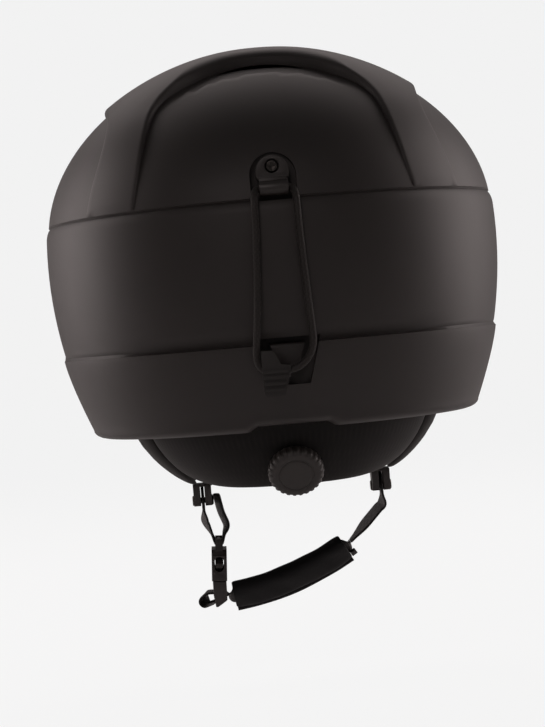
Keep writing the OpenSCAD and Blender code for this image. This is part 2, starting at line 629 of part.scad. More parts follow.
// Rubber pull tab: a ribbed tongue with a channel for the cord and a hook nose under the catch
tab_y = rear_y - 2;
tab_z = 27.5;
tab_outline = [[12.2, 17.8], [12.2, 36.6], [6.6, 36.6], [3.6, 30.2], [-0.8, 29.6], [2.5, 17.2],
  [3.5, 16.3], [10.8, 16.2]];
tab_t = 2;
tab_back = tab_y + 1.4;
tab_face = tab_back + tab_t;
tab_barrel = 3.1;
tab_ribs = 4;
tab_rib_z = 18.4;
tab_rib_step = 2.7;
module tab_bore(p, q, r0, r1) let (d = q - p)
  translate(p) rotate([0, acos(d[2] / norm(d)), atan2(d[1], d[0])])
    cylinder(r1 = r0, r2 = r1, h = norm(d), $fn = 24);
module hook_tab() color(nylon_black) difference() {
  union() {
    along_y(tab_back, tab_face) polygon(tab_outline);
    translate([-0.3, tab_y, tab_z]) rotate([0, 90, 0]) cylinder(r = tab_barrel, h = 12.3);
    intersection() {
      along_y(tab_back, tab_face + 1) offset(delta = -0.7) polygon(tab_outline);
      for (k = [0:tab_ribs - 1])
        translate([-2, tab_face - 0.5, tab_rib_z + tab_rib_step * k]) cube([16, 1.3, 1.5]);
    }
    translate([0.4, catch_floor + 7, tab_z - 3]) cube([9.4, tab_y - catch_floor - 7, 3.6]);
  }
  translate([-4, tab_y, tab_z]) rotate([0, 90, 0]) cylinder(r = cord_d / 2 + 0.35, h = 24);
  tab_bore([8, tab_y, tab_z], [14, tab_y - 0.4, 31.4], cord_d / 2 + 0.5, cord_d / 2 + 2.1);
  tab_bore([2.5, tab_y, tab_z], [-3.6, tab_y, 28.4], cord_d / 2 + 0.4, cord_d / 2 + 1);
}
// Catch: a tongue that tapers downwards from the top of the lower recess
tongue_top = 39.2;
tongue_low = 28.4;
module tab_catch() color(shell_black) intersection() {
  along_y(catch_floor, catch_floor + 12)
    polygon([[-8.3, tongue_top + 1], [8.3, tongue_top + 1], [4.2, tongue_low], [-4.2, tongue_low]]);
  along_x(-10, 10) translate([catch_floor, 0]) polygon([[0, tongue_top + 0.8], [0, tongue_low],
    [8.6, tongue_low], [9.4, tongue_low + 1.2], [9.8, tongue_top - 1], [9, tongue_top]]);
}

// Webbing legs: flat ribbons that lie along the inside of the ear pads
leg_out = ear_t + 2.8;
leg_low = -30;
leg_cut = -28;
leg_marks = [0, 0.05, 0.1, 0.15, 0.2, 0.3, 0.45, 0.62, 0.8, 0.92, 1];
// start is the depth of the ribbon at its anchor; it swings out over the ear pad's top edge within run
function leg_point(a0, z0, a1, start, run, u, d) =
  on_bowl(mix(a0, a1, u), mix(z0, leg_low, u),
    mix(start, leg_out, ease(u / run)) - 1.2 * ease((u - 0.85) / 0.15) + d);
module leg(a0, z0, a1, start, run) color(cloth_black) difference() {
  sweep([for (u = leg_marks)
    let (e = 0.02, at = function(v, d) leg_point(a0, z0, a1, start, run, v, d),
      t = unit(at(u + e, 0) - at(u - e, 0)),
      out = face_out(bowl_place, mix(a0, a1, u), mix(z0, leg_low, u)),
      side = unit(cross(t, out)), face = cross(side, t), w = web_w / 2 - 3.2 * ease((u - 0.6) / 0.4))
    [for (c = [[1, -1], [1, 1], [-1, 1], [-1, -1]]) at(u, 0) + c[0] * w * side + c[1] * web_t / 2 * face]]);
  translate([-far, -far, leg_cut - 20]) cube([2 * far, 2 * far, 20]);
}
anchor_front_a = -20;
anchor_front_z = 60;
anchor_rear_a = 17;
anchor_rear_z = 25;
leg_front_a = -8.8;
leg_rear_a = -3.4;
leg_front_start = 5.2;
leg_rear_start = 3.6;
module leg_front_left() leg(anchor_front_a, anchor_front_z, leg_front_a, leg_front_start, 0.13);
module leg_rear_left() leg(anchor_rear_a, anchor_rear_z, leg_rear_a, leg_rear_start, 0.17);
module leg_front_right() mirror([1, 0, 0]) leg_front_left();
module leg_rear_right() mirror([1, 0, 0]) leg_rear_left();
anchor_t = 1.6;
module anchor(a, z) let (p = on_cavity(a, z, 1), v = -face_out(cavity_place, a, z))
  translate(p) rotate([0, acos(v[2]), atan2(v[1], v[0])]) cylinder(r = 6, h = anchor_t);
module strap_anchors() color(nylon_black) for (s = [0, 1]) mirror([s, 0, 0]) {
  anchor(anchor_front_a, anchor_front_z);
  anchor(anchor_rear_a, anchor_rear_z);
}

// Strap dividers: a clevis on each side, in which the lower strap's lug turns on a rivet
strap_y = -10;
divider_t = 9;
divider_top = -28.3;
divider_bridge = 1.2;
lug_r = web_w / 2;
swing_z = divider_top - divider_bridge - gap - lug_r;
divider_bottom = swing_z - 2.6;
divider_half = 6;
rivet_r = 1.5;
slot_w = web_t + 0.8;
module divider_left() color(nylon_black) difference() {
  along_x(divider_x - divider_t / 2, divider_x + divider_t / 2) hull() {
    translate([strap_y - divider_half - 2, divider_top - 3]) square([2 * divider_half + 4, 3]);
    translate([strap_y - divider_half + 2, divider_bottom + 2]) circle(r = 2);
    translate([strap_y + divider_half - 2, divider_bottom + 2]) circle(r = 2);
  }
  translate([divider_x - slot_w / 2, strap_y - 20, divider_bottom - 5])
    cube([slot_w, 40, divider_top - divider_bridge - divider_bottom + 5]);
  translate([divider_x - 10, strap_y, swing_z]) rotate([0, 90, 0]) cylinder(r = rivet_r, h = 20);
}
module divider_right() mirror([1, 0, 0]) divider_left();
module divider_rivets() color(steel) for (s = [0, 1]) mirror([s, 0, 0])
  translate([divider_x, strap_y, swing_z]) rotate([0, 90, 0]) {
    translate([0, 0, -divider_t / 2]) cylinder(r = rivet_r, h = divider_t);
    translate([0, 0, divider_t / 2]) cylinder(r1 = 2.8, r2 = 2.2, h = 0.8);
    translate([0, 0, -divider_t / 2 - 0.8]) cylinder(r1 = 2.2, r2 = 2.8, h = 0.8);
  }

// A ribbon of webbing whose route lies in x and z: its edges are the route moved half a thickness each way
function route_normal(r, i) =
  let (n = len(r), d = unit(r[min(i + 1, n - 1)] - r[max(i - 1, 0)])) [-d[1], d[0]];
module ribbon(r, w) along_y(strap_y - w / 2, strap_y + w / 2) polygon(concat(
  [for (i = [0:len(r) - 1]) r[i] + web_t / 2 * route_normal(r, i)],
  [for (i = [len(r) - 1:-1:0]) r[i] - web_t / 2 * route_normal(r, i)]));
module lug(x) difference() {
  children();
  translate([x - 5, strap_y, swing_z]) rotate([0, 90, 0]) cylinder(r = rivet_r + run_fit, h = 10);
}
module lug_disc(x)
  translate([x - web_t / 2, strap_y, swing_z]) rotate([0, 90, 0]) cylinder(r = lug_r, h = web_t);
outer_route = [[divider_x, swing_z], [divider_x, swing_z - 9.5], [44.4, swing_z - 12], [41.9, -54.6],
  [41.1, -57.2], [40.4, -59], [38.9, -59.8], [37.4, -59.1], [36.6, -57.2], [35.8, -54.2], [34.4, -50],
  [36.6, -43], [38.2, -34]];
module strap_left() color(cloth_black) lug(divider_x) {
  ribbon(outer_route, web_w);
  lug_disc(divider_x);
}
right_route = [[-divider_x, swing_z], [-divider_x, swing_z - 9], [-42.6, -48.5], [-37.2, -54],
  [-31.8, -59.5], [-27.23, -64]];
module strap_right() color(cloth_black) lug(-divider_x) {
  ribbon(right_route, web_w);
  lug_disc(-divider_x);
}

// Side release buckle, edge on: local Z runs up the buckle and local Y across its width
buckle_at = [39.9, -73];
buckle_lean = 4;
module buckle_place() translate([buckle_at[0], strap_y, buckle_at[1]]) rotate([0, -buckle_lean, 0]) children();
female_low = -4;
female_high = 10.5;
bar_z = 15.4;
cheek = 3;
mouth_half = buckle_w / 2 - cheek;
mouth_t = 4.6;
window_low = 0.5;
window_high = 8;
module buckle_female() color(nylon_black) buckle_place() difference() {
  union() {
    along_x(-buckle_t / 2, buckle_t / 2) polygon([[-buckle_w / 2, female_low], [buckle_w / 2, female_low],
      [buckle_w / 2 - 0.6, female_high - 2], [buckle_w / 2 - 2.4, female_high + 1],
      [-buckle_w / 2 + 2.4, female_high + 1], [-buckle_w / 2 + 0.6, female_high - 2]]);
    for (s = [-1, 1]) translate([-1.9, s * 9.2 - 1.4, female_high]) cube([3.8, 2.8, bar_z - female_high + 1.6]);
    translate([0, -9.2, bar_z]) rotate([-90, 0, 0]) cylinder(r = 1.1, h = 18.4);
  }
  translate([-mouth_t / 2, -mouth_half, female_low - 1])
    cube([mouth_t, 2 * mouth_half, female_high - female_low - 0.5]);
  for (s = [-1, 1]) hull() for (z = [window_low + mouth_t / 2, window_high - mouth_t / 2])
    translate([0, s * (buckle_w / 2 + 1) - 5, z]) rotate([-90, 0, 0]) cylinder(r = mouth_t / 2, h = 10);
}
male_low = -17.5;
male_top = female_low - gap;
web_slot_z = -11.2;
module buckle_male() color(nylon_black) buckle_place() difference() {
  union() {
    intersection() {
      along_x(-buckle_t / 2, buckle_t / 2) polygon([[-buckle_w / 2, male_top], [buckle_w / 2, male_top],
        [buckle_w / 2 - 1, male_top - 4], [9.8, male_low + 1], [8.8, male_low], [-8.8, male_low],
        [-9.8, male_low + 1], [-buckle_w / 2 + 1, male_top - 4]]);
      along_y(-buckle_w, buckle_w) polygon([[-buckle_t / 2 + 0.4, male_top], [buckle_t / 2 - 0.4, male_top],
        [buckle_t / 2 - 0.7, male_top - 7], [1.9, male_low], [1.1, male_low - 0.1],
        [-buckle_t / 2, male_low + 3.6]]);
    }
    translate([-1.6, -2, male_top - 1]) cube([3.2, 4, 11]);
  }
  translate([-6, chin_dy - web_w / 2 - 0.4, web_slot_z - web_t / 2 - 0.8]) cube([12, web_w + 0.8, web_t + 1.6]);
}
prong_t = 4;
module buckle_prongs() color(nylon_black) buckle_place() for (s = [0, 1]) mirror([0, s, 0])
  along_x(-prong_t / 2, prong_t / 2) polygon([[5.6, male_top], [8.4, male_top], [8.8, window_low + 1.6],
    [11.9, window_low + 1.8], [12.1, window_high - 3.4], [9, window_high - 0.9], [6.6, window_high - 0.6],
    [6.2, window_low + 2]]);

// Chin webbing and its fleece sleeve: the same route, the webbing twisting into the sleeve's tilt
chin_tilt = 38;
chin_route = [[45, -88.2], [46.6, -90], [48.6, -88.6], [48.8, -85.6], [46.8, -83.6], [43.8, -83.5],
  [40, -84.2], [36.6, -85.2], [33.2, -85.8], [24, -84.6], [14, -82.4], [4, -79.4], [-6, -75.6],
  [-16, -71.2], [-24.2, -66.6], [-27, -64.2]];
chin_first = 8;
chin_last = 14;
chin_dy = -1;
function smooth_route(r, k) = [for (i = [0:len(r) - 2], j = [0:k - 1])
    spline(r[max(i - 1, 0)], r[i], r[i + 1], r[min(i + 2, len(r) - 1)], j / k)];
function chin_section(p, d, twist, outline) =
  let (t = unit([d[0], 0, d[1]]), u = [0, cos(twist), 0] + sin(twist) * [t[2], 0, -t[0]], v = cross(u, t))
  [for (c = outline) [p[0], strap_y + chin_dy, p[1]] + c[0] * u + c[1] * v];
function pillow(w, t, n) =
  [for (k = [0:n - 1]) let (b = 360 * k / n) [w / 2 * bend(cos(b), 0.5), t / 2 * bend(sin(b), 0.7)]];
function flat(w, t) = [[w / 2, t / 2], [-w / 2, t / 2], [-w / 2, -t / 2], [w / 2, -t / 2]];
function route_step(r, i) = unit(r[min(i + 1, len(r) - 1)] - r[max(i - 1, 0)]);
chin_split = 3;
chin_line = concat(smooth_route(chin_route, chin_split), [chin_route[len(chin_route) - 1]]);
// The webbing is level at the buckle and twists into the sleeve's tilt over one step of the route
function chin_twist(i) =
  chin_tilt * ease((i / chin_split - chin_first + 1.15) / 1.15) * ease((chin_last + 1 - i / chin_split) / 0.9);
module chin_webbing() color(cloth_black)
  sweep([for (i = [0:len(chin_line) - 1])
    chin_section(chin_line[i], route_step(chin_line, i), chin_twist(i), flat(web_w, web_t))]);
chin_ends = 0.88;
sleeve_line = concat(
  smooth_route([for (i = [chin_first:chin_last]) chin_route[i]], chin_split), [chin_route[chin_last]]);
module chin_pad() color(cloth_black) moulded() difference() {
  r = sleeve_line;
  n = len(r);
  sweep([for (i = [0:n - 1]) let (v = 2 * i / (n - 1) - 1, e = mix(chin_ends, 1, sqrt(1 - pow(abs(v), 6))))
    chin_section(r[i], route_step(r, i), chin_tilt, [for (c = pillow(chin_w, chin_t, 16)) c * e])]);
  s = smooth_route([for (i = [chin_first - 1:chin_last + 1]) chin_route[i]], chin_split);
  sweep([for (i = [0:len(s) - 1])
    chin_section(s[i], route_step(s, i), chin_tilt, flat(web_w + 2 * gap, web_t + 2 * gap))]);
}
// Closing flap of the sleeve: its upper layer, which shows as a step below the sleeve's lower edge
flap_w = 9;
flap_t = 1.8;
flap_out = 4.4;
module sleeve_flap() color(cloth_black) {
  r = sleeve_line;
  sweep([for (i = [0:len(r) - 1]) chin_section(r[i], route_step(r, i), chin_tilt,
    [for (c = pillow(flap_w, flap_t, 8))
      [c[0] - chin_w / 2 - flap_out + flap_w / 2, c[1] + chin_t / 2 + gap + flap_t / 2]])]);
}
// Small tag sewn into the sleeve's right end
tag_from = [0.3, -8, -2.7];
tag_size = [3.1, 4, 1.5];
module sleeve_tag() color(cloth_black)
  let (p = chin_route[chin_last], d = unit(chin_route[chin_last + 1] - chin_route[chin_last - 1]),
    t = [d[0], 0, d[1]], u = [0, cos(chin_tilt), 0] + sin(chin_tilt) * [t[2], 0, -t[0]], v = cross(u, t))
  multmatrix([[t[0], u[0], v[0], p[0]], [t[1], u[1], v[1], strap_y + chin_dy], [t[2], u[2], v[2], p[1]],
    [0, 0, 0, 1]])
    translate(tag_from) cube(tag_size);

outer_shell();
foam_liner();
crown_pad();
brow_pad();
side_pad_left();
side_pad_right();
rear_pad();
nape_pad();
ear_pad_left();
ear_pad_right();
dial_hanger();
dial_housing();
housing_cover();
dial_knob();
dial_pinion();
dial_screw();
band_left();
band_right();
strap_bracket();
bracket_screw();
bracket_nut();
elastic_loop();
hook_tab();
tab_catch();
strap_anchors();
leg_front_left();
leg_rear_left();
leg_front_right();
leg_rear_right();
divider_left();
divider_right();
divider_rivets();
strap_left();
strap_right();
buckle_female();
buckle_male();
buckle_prongs();
chin_webbing();
chin_pad();
sleeve_flap();
sleeve_tag();
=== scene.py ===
"""Snow helmet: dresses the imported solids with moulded, sewn and woven pieces, seen from behind.

Lengths inside the functions are millimetres and are turned to metres when a mesh is made.
+X is the wearer's left, +Y the rear and +Z the crown.
"""
import json
import math

import bmesh
import bpy
import numpy as np
from mathutils import Matrix, Vector
from mathutils.geometry import delaunay_2d_cdt


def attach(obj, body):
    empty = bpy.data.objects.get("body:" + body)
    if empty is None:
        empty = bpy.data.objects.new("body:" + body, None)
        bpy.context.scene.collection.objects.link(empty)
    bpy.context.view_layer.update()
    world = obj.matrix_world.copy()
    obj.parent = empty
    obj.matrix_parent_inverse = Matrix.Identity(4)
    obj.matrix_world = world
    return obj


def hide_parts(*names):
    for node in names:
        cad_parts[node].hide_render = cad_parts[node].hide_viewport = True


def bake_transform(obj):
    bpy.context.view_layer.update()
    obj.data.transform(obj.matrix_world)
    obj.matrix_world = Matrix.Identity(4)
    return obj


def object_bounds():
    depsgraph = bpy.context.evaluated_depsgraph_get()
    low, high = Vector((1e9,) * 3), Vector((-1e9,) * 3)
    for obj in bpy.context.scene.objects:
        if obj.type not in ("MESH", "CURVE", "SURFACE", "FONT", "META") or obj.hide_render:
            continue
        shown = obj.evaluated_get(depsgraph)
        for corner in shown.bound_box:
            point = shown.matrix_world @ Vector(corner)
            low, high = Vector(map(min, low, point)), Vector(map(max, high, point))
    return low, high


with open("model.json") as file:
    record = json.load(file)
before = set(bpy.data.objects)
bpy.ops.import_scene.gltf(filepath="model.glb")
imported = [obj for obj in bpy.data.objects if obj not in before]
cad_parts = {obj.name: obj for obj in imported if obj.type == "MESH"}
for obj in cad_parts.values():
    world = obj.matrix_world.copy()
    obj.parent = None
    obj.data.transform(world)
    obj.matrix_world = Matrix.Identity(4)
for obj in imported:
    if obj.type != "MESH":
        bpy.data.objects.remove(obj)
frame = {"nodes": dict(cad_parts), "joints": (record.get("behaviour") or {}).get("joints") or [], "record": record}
CAD_LOW, CAD_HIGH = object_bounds()

bl_info = {
    "name": "Snow helmet",
    "version": (1, 0, 0),
    "blender": (4, 5, 0),
    "location": "View3D > Sidebar > Helmet",
    "description": "Builds the shell, pads, fit dial, goggle retainer and chin strap of a snow helmet",
    "category": "Object",
}

MM = 0.001
# Powers of the superellipses of the shell's plan, the dome's profile and the head cavity's profile
PLAN_POWER = 2.25
DOME_POWER = 1.9
CAVITY_POWER = 2.4
# The cavity's wall is upright up to this height
CAVITY_UPRIGHT = 20
SIDES = (("left", 1), ("right", -1))
BODY_OF = {n: b for b, nodes in frame["record"]["behaviour"]["bodies"].items() for n in nodes}


# Numbers and shapes


def hex_linear(text):
    """Linear colour of an sRGB hex value, opaque."""
    c = np.array([int(text[i:i + 2], 16) for i in (1, 3, 5)]) / 255
    return (*np.where(c <= 0.04045, c / 12.92, ((c + 0.055) / 1.055) ** 2.4), 1)


def mix(p, q, t):
    """p at t 0, q at t 1."""
    return p + (q - p) * t


def ease(t):
    """Smooth step: 3t^2 - 2t^3 of t held between 0 and 1."""
    c = np.clip(t, 0, 1)
    return c * c * (3 - 2 * c)


def bend(v, e):
    """Signed power: sign(v) times |v| to the e."""
    return np.sign(v) * np.abs(v) ** e


def unit(v):
    """Vectors along the last axis, divided by their length."""
    return v / np.maximum(np.linalg.norm(v, axis=-1, keepdims=True), 1e-12)


def stacked(*parts):
    """Arrays broadcast to one shape and joined along a new last axis."""
    return np.stack(np.broadcast_arrays(*parts), axis=-1).astype(float)


def spline(route, steps, closed=False):
    """Catmull-Rom curve through the route's points, with the given steps from each to the next."""
    r = np.asarray(route, float)
    n = len(r)
    i = np.arange(n if closed else n - 1)
    near = [r[(i + k) % n] if closed else r[np.clip(i + k, 0, n - 1)] for k in (-1, 0, 1, 2)]
    p, q, s, t = (points[:, None] for points in near)
    u = (np.arange(steps) / steps)[None, :, None]
    curve = 2 * q + (s - p) * u + (2 * p - 5 * q + 4 * s - t) * u * u + (3 * q - p - 3 * s + t) * u ** 3
    curve = (0.5 * curve).reshape(-1, r.shape[1])
    return curve if closed else np.vstack([curve, r[-1:]])


def along(path):
    """Distance along a path at each of its points."""
    step = np.linalg.norm(np.diff(path, axis=0), axis=1)
    return np.concatenate([[0], np.cumsum(step)])


def headings(path, closed=False):
    """Unit directions of a path at its points, from the points on either side."""
    if closed:
        return unit(np.roll(path, -1, 0) - np.roll(path, 1, 0))
    return unit(np.gradient(path, axis=0))


def size_of(name):
    """A size of the helmet from its property group, in millimetres."""
    return getattr(bpy.context.scene.helmet_sizes, name) / MM


# Meshes


def new_object(name, verts, faces, uv=None):
    """Object from points in millimetres and faces, with its faces turned outwards by its signed volume.

    uv is one pair a face corner, in millimetres along the surface, in the faces' order.
    """
    mesh = bpy.data.meshes.new(name)
    mesh.from_pydata((np.asarray(verts) * MM).tolist(), [], faces)
    if uv is not None:
        layer = mesh.uv_layers.new(name="Weave")
        layer.data.foreach_set("uv", (np.asarray(uv) * MM).ravel())
    mesh.update()
    bm = bmesh.new()
    bm.from_mesh(mesh)
    if bm.calc_volume(signed=True) < 0:
        bmesh.ops.reverse_faces(bm, faces=bm.faces)
        bm.to_mesh(mesh)
    bm.free()
    mesh.shade_smooth()
    obj = bpy.data.objects.new(name, mesh)
    bpy.context.scene.collection.objects.link(obj)
    return obj


def grid(points, ring=True, closed=False, capped=True, pattern=None):
    """Faces and corner UVs of a surface whose points are points[row, column].

    ring joins the last column to the first, closed joins the last row to the first, and capped
    closes the first and last rows with a fan to their middle. pattern gives the UV of each column
    edge and each row in millimetres.
    """
    rows, cols = points.shape[:2]
    verts = points.reshape(-1, 3)
    r = np.arange(rows if closed else rows - 1)
    c = np.arange(cols if ring else cols - 1)
    r, c = (m.ravel() for m in np.meshgrid(r, c, indexing="ij"))
    r1, c1 = (r + 1) % rows, (c + 1) % cols
    quads = np.stack([r * cols + c, r * cols + c1, r1 * cols + c1, r1 * cols + c], 1)
    if pattern is None:
        around = np.arange(cols + 1) * np.linalg.norm(points[rows // 2, 1] - points[rows // 2, 0])
        down = np.concatenate([along(points[:, 0]), [0]])
        down[-1] = down[-2] + (down[1] - down[0])
        pattern = (around, down)
    u, v = pattern
    corner_uv = [np.stack([u[c], v[r]], 1), np.stack([u[c + 1], v[r]], 1),
                 np.stack([u[c + 1], v[r + 1]], 1), np.stack([u[c], v[r + 1]], 1)]
    uv = np.stack(corner_uv, 1).reshape(-1, 2)
    faces = quads.tolist()
    if capped and not closed:
        middles = np.array([points[0].mean(0), points[-1].mean(0)])
        k = np.arange(cols if ring else cols - 1)
        k1 = (k + 1) % cols
        first = np.stack([np.full(len(k), len(verts)), k1, k], 1)
        last = np.stack([np.full(len(k), len(verts) + 1), (rows - 1) * cols + k, (rows - 1) * cols + k1], 1)
        verts = np.vstack([verts, middles])
        faces += first.tolist() + last.tolist()
        fans = [np.stack([u[k], v[row] + 0 * k], 1).repeat(3, 0) for row in (0, -1)]
        uv = np.vstack([uv, *fans])
    return verts, faces, uv


def surface(name, points, **options):
    """Object from a grid of points in millimetres."""
    verts, faces, uv = grid(points, **options)
    return new_object(name, verts, faces, uv)


def prism(outline, low, high, place=None):
    """Closed solid: a 2-D outline in x and z carried along y from low to high, then placed by a matrix
    where one is given."""
    ring = np.asarray(outline, float)
    ends = [stacked(ring[:, 0], y, ring[:, 1]) for y in (low, high)]
    obj = surface("cutter", np.array(ends))
    if place is not None:
        obj.data.transform(place)
    return obj


def cut(obj, *cutters):
    """The object's mesh with closed solids cut out of it, which are deleted."""
    for cutter in cutters:
        modifier = obj.modifiers.new("Cut", "BOOLEAN")
        modifier.operation = "DIFFERENCE"
        modifier.solver = "MANIFOLD"
        modifier.object = cutter
    settle(obj)
    for cutter in cutters:
        bpy.data.objects.remove(cutter)


def settle(obj):
    """Turns the object's modifiers into its mesh."""
    graph = bpy.context.evaluated_depsgraph_get()
    graph.update()
    mesh = bpy.data.meshes.new_from_object(obj.evaluated_get(graph))
    old = obj.data
    obj.modifiers.clear()
    obj.data = mesh
    bpy.data.meshes.remove(old)


def crease(obj, degrees):
    """Smooth faces, with edges sharper than the angle left sharp."""
    obj.data.shade_smooth()
    obj.data.set_sharp_from_angle(angle=math.radians(degrees))


def place_piece(obj, finish, node, rides=True):
    """Gives a piece its finish, hides the CAD node whose place it takes, and rides it on the node's body unless
    rides is false."""
    obj.data.materials.clear()
    obj.data.materials.append(finish)
    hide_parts(node)
    if rides:
        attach(obj, BODY_OF[node])
    return obj


def dress(node, finish, width, segments=2, rides=True):
    """A copy of a CAD node's mesh, merged and cleared of flat edges, with its edges rounded by width."""
    bm = bmesh.new()
    bm.from_mesh(frame["nodes"][node].data)
    bmesh.ops.remove_doubles(bm, verts=bm.verts, dist=2e-6)
    bmesh.ops.dissolve_limit(bm, angle_limit=math.radians(0.8), verts=bm.verts, edges=bm.edges)
    mesh = bpy.data.meshes.new(node + "_moulded")
    bm.to_mesh(mesh)
    bm.free()
    obj = bpy.data.objects.new(mesh.name, mesh)
    bpy.context.scene.collection.objects.link(obj)
    rounding = obj.modifiers.new("Rounded edges", "BEVEL")
    rounding.width = width * MM
    rounding.segments = segments
    rounding.limit_method = "ANGLE"
    rounding.angle_limit = math.radians(28)
    rounding.use_clamp_overlap = True
    settle(obj)
    crease(obj, 40)
    return place_piece(obj, finish, node, rides)


SWELL_FRAMES = 14


def swell(obj, cap):
    """Cloth that swells like a stuffed pad: pressure inside, no gravity, and no point moves beyond cap."""
    rest = np.empty(len(obj.data.vertices) * 3)
    obj.data.vertices.foreach_get("co", rest)
    rest = rest.reshape(-1, 3)
    cloth = obj.modifiers.new("Swell", "CLOTH")
    settings = cloth.settings
    settings.quality = 5
    settings.mass = 0.15
    settings.tension_stiffness = 25
    settings.compression_stiffness = 25
    settings.shear_stiffness = 10
    settings.bending_stiffness = 1.5
    settings.use_pressure = True
    settings.uniform_pressure_force = 4.0
    settings.effector_weights.gravity = 0
    scene = bpy.context.scene
    for step in range(1, SWELL_FRAMES + 1):
        scene.frame_set(step)
    graph = bpy.context.evaluated_depsgraph_get()
    swollen = obj.evaluated_get(graph).data
    moved = np.empty(len(swollen.vertices) * 3)
    swollen.vertices.foreach_get("co", moved)
    move = moved.reshape(-1, 3) - rest
    length = np.linalg.norm(move, axis=1, keepdims=True)
    limit = cap * MM
    move *= np.minimum(1, limit * np.tanh(length / limit) / np.maximum(length, 1e-9))
    obj.modifiers.remove(cloth)
    obj.data.vertices.foreach_set("co", (rest + np.nan_to_num(move)).ravel())
    obj.data.update()
    scene.frame_set(1)


# Forms shared with the CAD model


def plan(a):
    """Unit superellipse |x|^n + |y|^n = 1 at parameter angle a: the cosine and sine bent by 2/n."""
    return bend(np.cos(a), 2 / PLAN_POWER), bend(np.sin(a), 2 / PLAN_POWER)


class Shell:
    """Heights and half widths of the shell's moulding as functions of the plan angle a."""

    # Heights of the dome's centre and of the belt's widest place, and the belt's curve in 1/mm
    centre_z = 98
    widest_z = 85
    belt_curve = 0.00246
    # The dome's foot is this much narrower than the belt and this much higher than the upper crease
    foot_in = 1.55
    foot_up = 1.6

    def __init__(self):
        self.half = size_of("shell_width") / 2
        self.long = size_of("shell_length") / size_of("shell_width")
        self.top = size_of("crown_height") - size_of("crown_lift")
        self.wall = size_of("shell_wall")
        self.lift = size_of("crown_lift")
        self.dome_h = self.top - self.centre_z
        self.dome_hw = self.half - self.foot_in

    def rise(self, a):
        """Smooth step towards the brow: from 10 mm behind the middle, over 125 mm."""
        return ease((10 - size_of("shell_length") / 2 * plan(a)[1]) / 125)

    def rim(self, a):
        """Height of the rim: level at the rear, raised at the brow."""
        return size_of("brow_rise") * self.rise(a)

    def low(self, a):
        """Height of the lower crease, from the rear to 14 mm above the brow's rim."""
        return mix(size_of("lower_crease"), size_of("brow_rise") + 14, self.rise(a))

    def high(self, a):
        """Height of the upper crease: 5 mm higher at the brow than at the rear."""
        return size_of("upper_crease") + 5 * self.rise(a)

    def belt(self, z):
        """Half width less a parabola about the widest height."""
        return self.half - self.belt_curve * (z - self.widest_z) ** 2

    def band(self, a, z):
        """Half width below the lower crease: 1.2 mm proud of the belt there, drawn in towards the rim by
        13 mm at the rear and 4 mm at the brow, to the power 1.25."""
        share = np.clip((z - self.rim(a)) / (self.low(a) - self.rim(a)), 0, 1)
        return self.belt(self.low(a)) + 1.2 - mix(13, 4, self.rise(a)) * (1 - share) ** 1.25

    def foot(self, a):
        """Elevation angle of the dome's foot, a little above the upper crease."""
        return np.arcsin(((self.high(a) + self.foot_up - self.centre_z) / self.dome_h) ** (DOME_POWER / 2))

    def dome(self, al, depth=0):
        """Half width and height of the dome at elevation angle al: a quarter superellipse."""
        c, s = np.maximum(np.cos(al), 1e-9), np.sin(al)
        return (self.dome_hw * c ** (2 / DOME_POWER) - depth * c,
                self.centre_z + self.dome_h * s ** (2 / DOME_POWER) - depth * s)

    def point(self, a, hw, z):
        """Point at plan angle a: the plan scaled by the half width, and by the shell's ratio lengthways."""
        x, y = plan(a)
        return stacked(hw * x, hw * self.long * y, z)

    def on_disc(self, q):
        """Points and outward normals of the dome at disc places q: the distance from the middle is the
        share of the way from pole to foot, and the direction is the plan angle."""
        a = np.arctan2(q[:, 1], q[:, 0])
        rho = np.linalg.norm(q, axis=1)
        foot = self.foot(a)
        al = math.pi / 2 - rho * (math.pi / 2 - foot)
        hw, z = self.dome(al)
        c, s = np.maximum(np.cos(al), 1e-6), np.maximum(np.sin(al), 1e-6)
        e = 2 / DOME_POWER
        climb = self.dome_h * e * s ** (e - 1) * c
        spread = self.dome_hw * e * c ** (e - 1) * s
        x, y = plan(a)
        sideways = bend(x, PLAN_POWER - 1) * climb
        lengthways = bend(y, PLAN_POWER - 1) / self.long * climb
        normal = unit(stacked(sideways, lengthways, spread))
        return self.point(a, hw, z), normal

    def to_disc(self, p):
        """Disc places of points on the dome, from their height and their direction in plan."""
        share = np.clip((p[:, 2] - self.centre_z) / self.dome_h, 0, 1)
        al = np.arcsin(np.clip(share ** (DOME_POWER / 2), 0, 1))
        a = np.arctan2(bend(p[:, 1] / self.long, PLAN_POWER / 2), bend(p[:, 0], PLAN_POWER / 2))
        rho = (math.pi / 2 - al) / (math.pi / 2 - self.foot(a))
        return stacked(rho * np.cos(a), rho * np.sin(a))

    def from_view(self, u, z, side):
        """Points of the dome seen straight on: u and z in the view, side 0 from behind, 1 from +X."""
        al = np.arcsin(np.clip((z - self.centre_z) / self.dome_h, 0, 1) ** (DOME_POWER / 2))
        hw, _ = self.dome(al)
        if side == 0:
            rest = np.clip(1 - np.abs(u / hw) ** PLAN_POWER, 0, 1) ** (1 / PLAN_POWER)
            return stacked(u, hw * self.long * rest, z)
        rest = np.clip(1 - np.abs(u / (hw * self.long)) ** PLAN_POWER, 0, 1) ** (1 / PLAN_POWER)
        return stacked(hw * rest, u, z)


# Top of the rear panel's lip and of the bracket's recess
LIP_TOP = 168.8
RECESS_TOP = 124.8
# Crown's legs at the rear: height of their feet, half width there, lean inwards, and height to their top
LEG_FOOT = 104
LEG_HALF = 64.5
LEG_LEAN = 0.26
LEG_RISE = 75.8
# Half width of the lip, and depth and width of the trough between it and the crown
LIP_HALF = 46
TROUGH_DEPTH = 1.7
TROUGH_WIDTH = 4
# Lowest point of the crown's foot line, under the upper crease
FOOT_LINE_END = 99
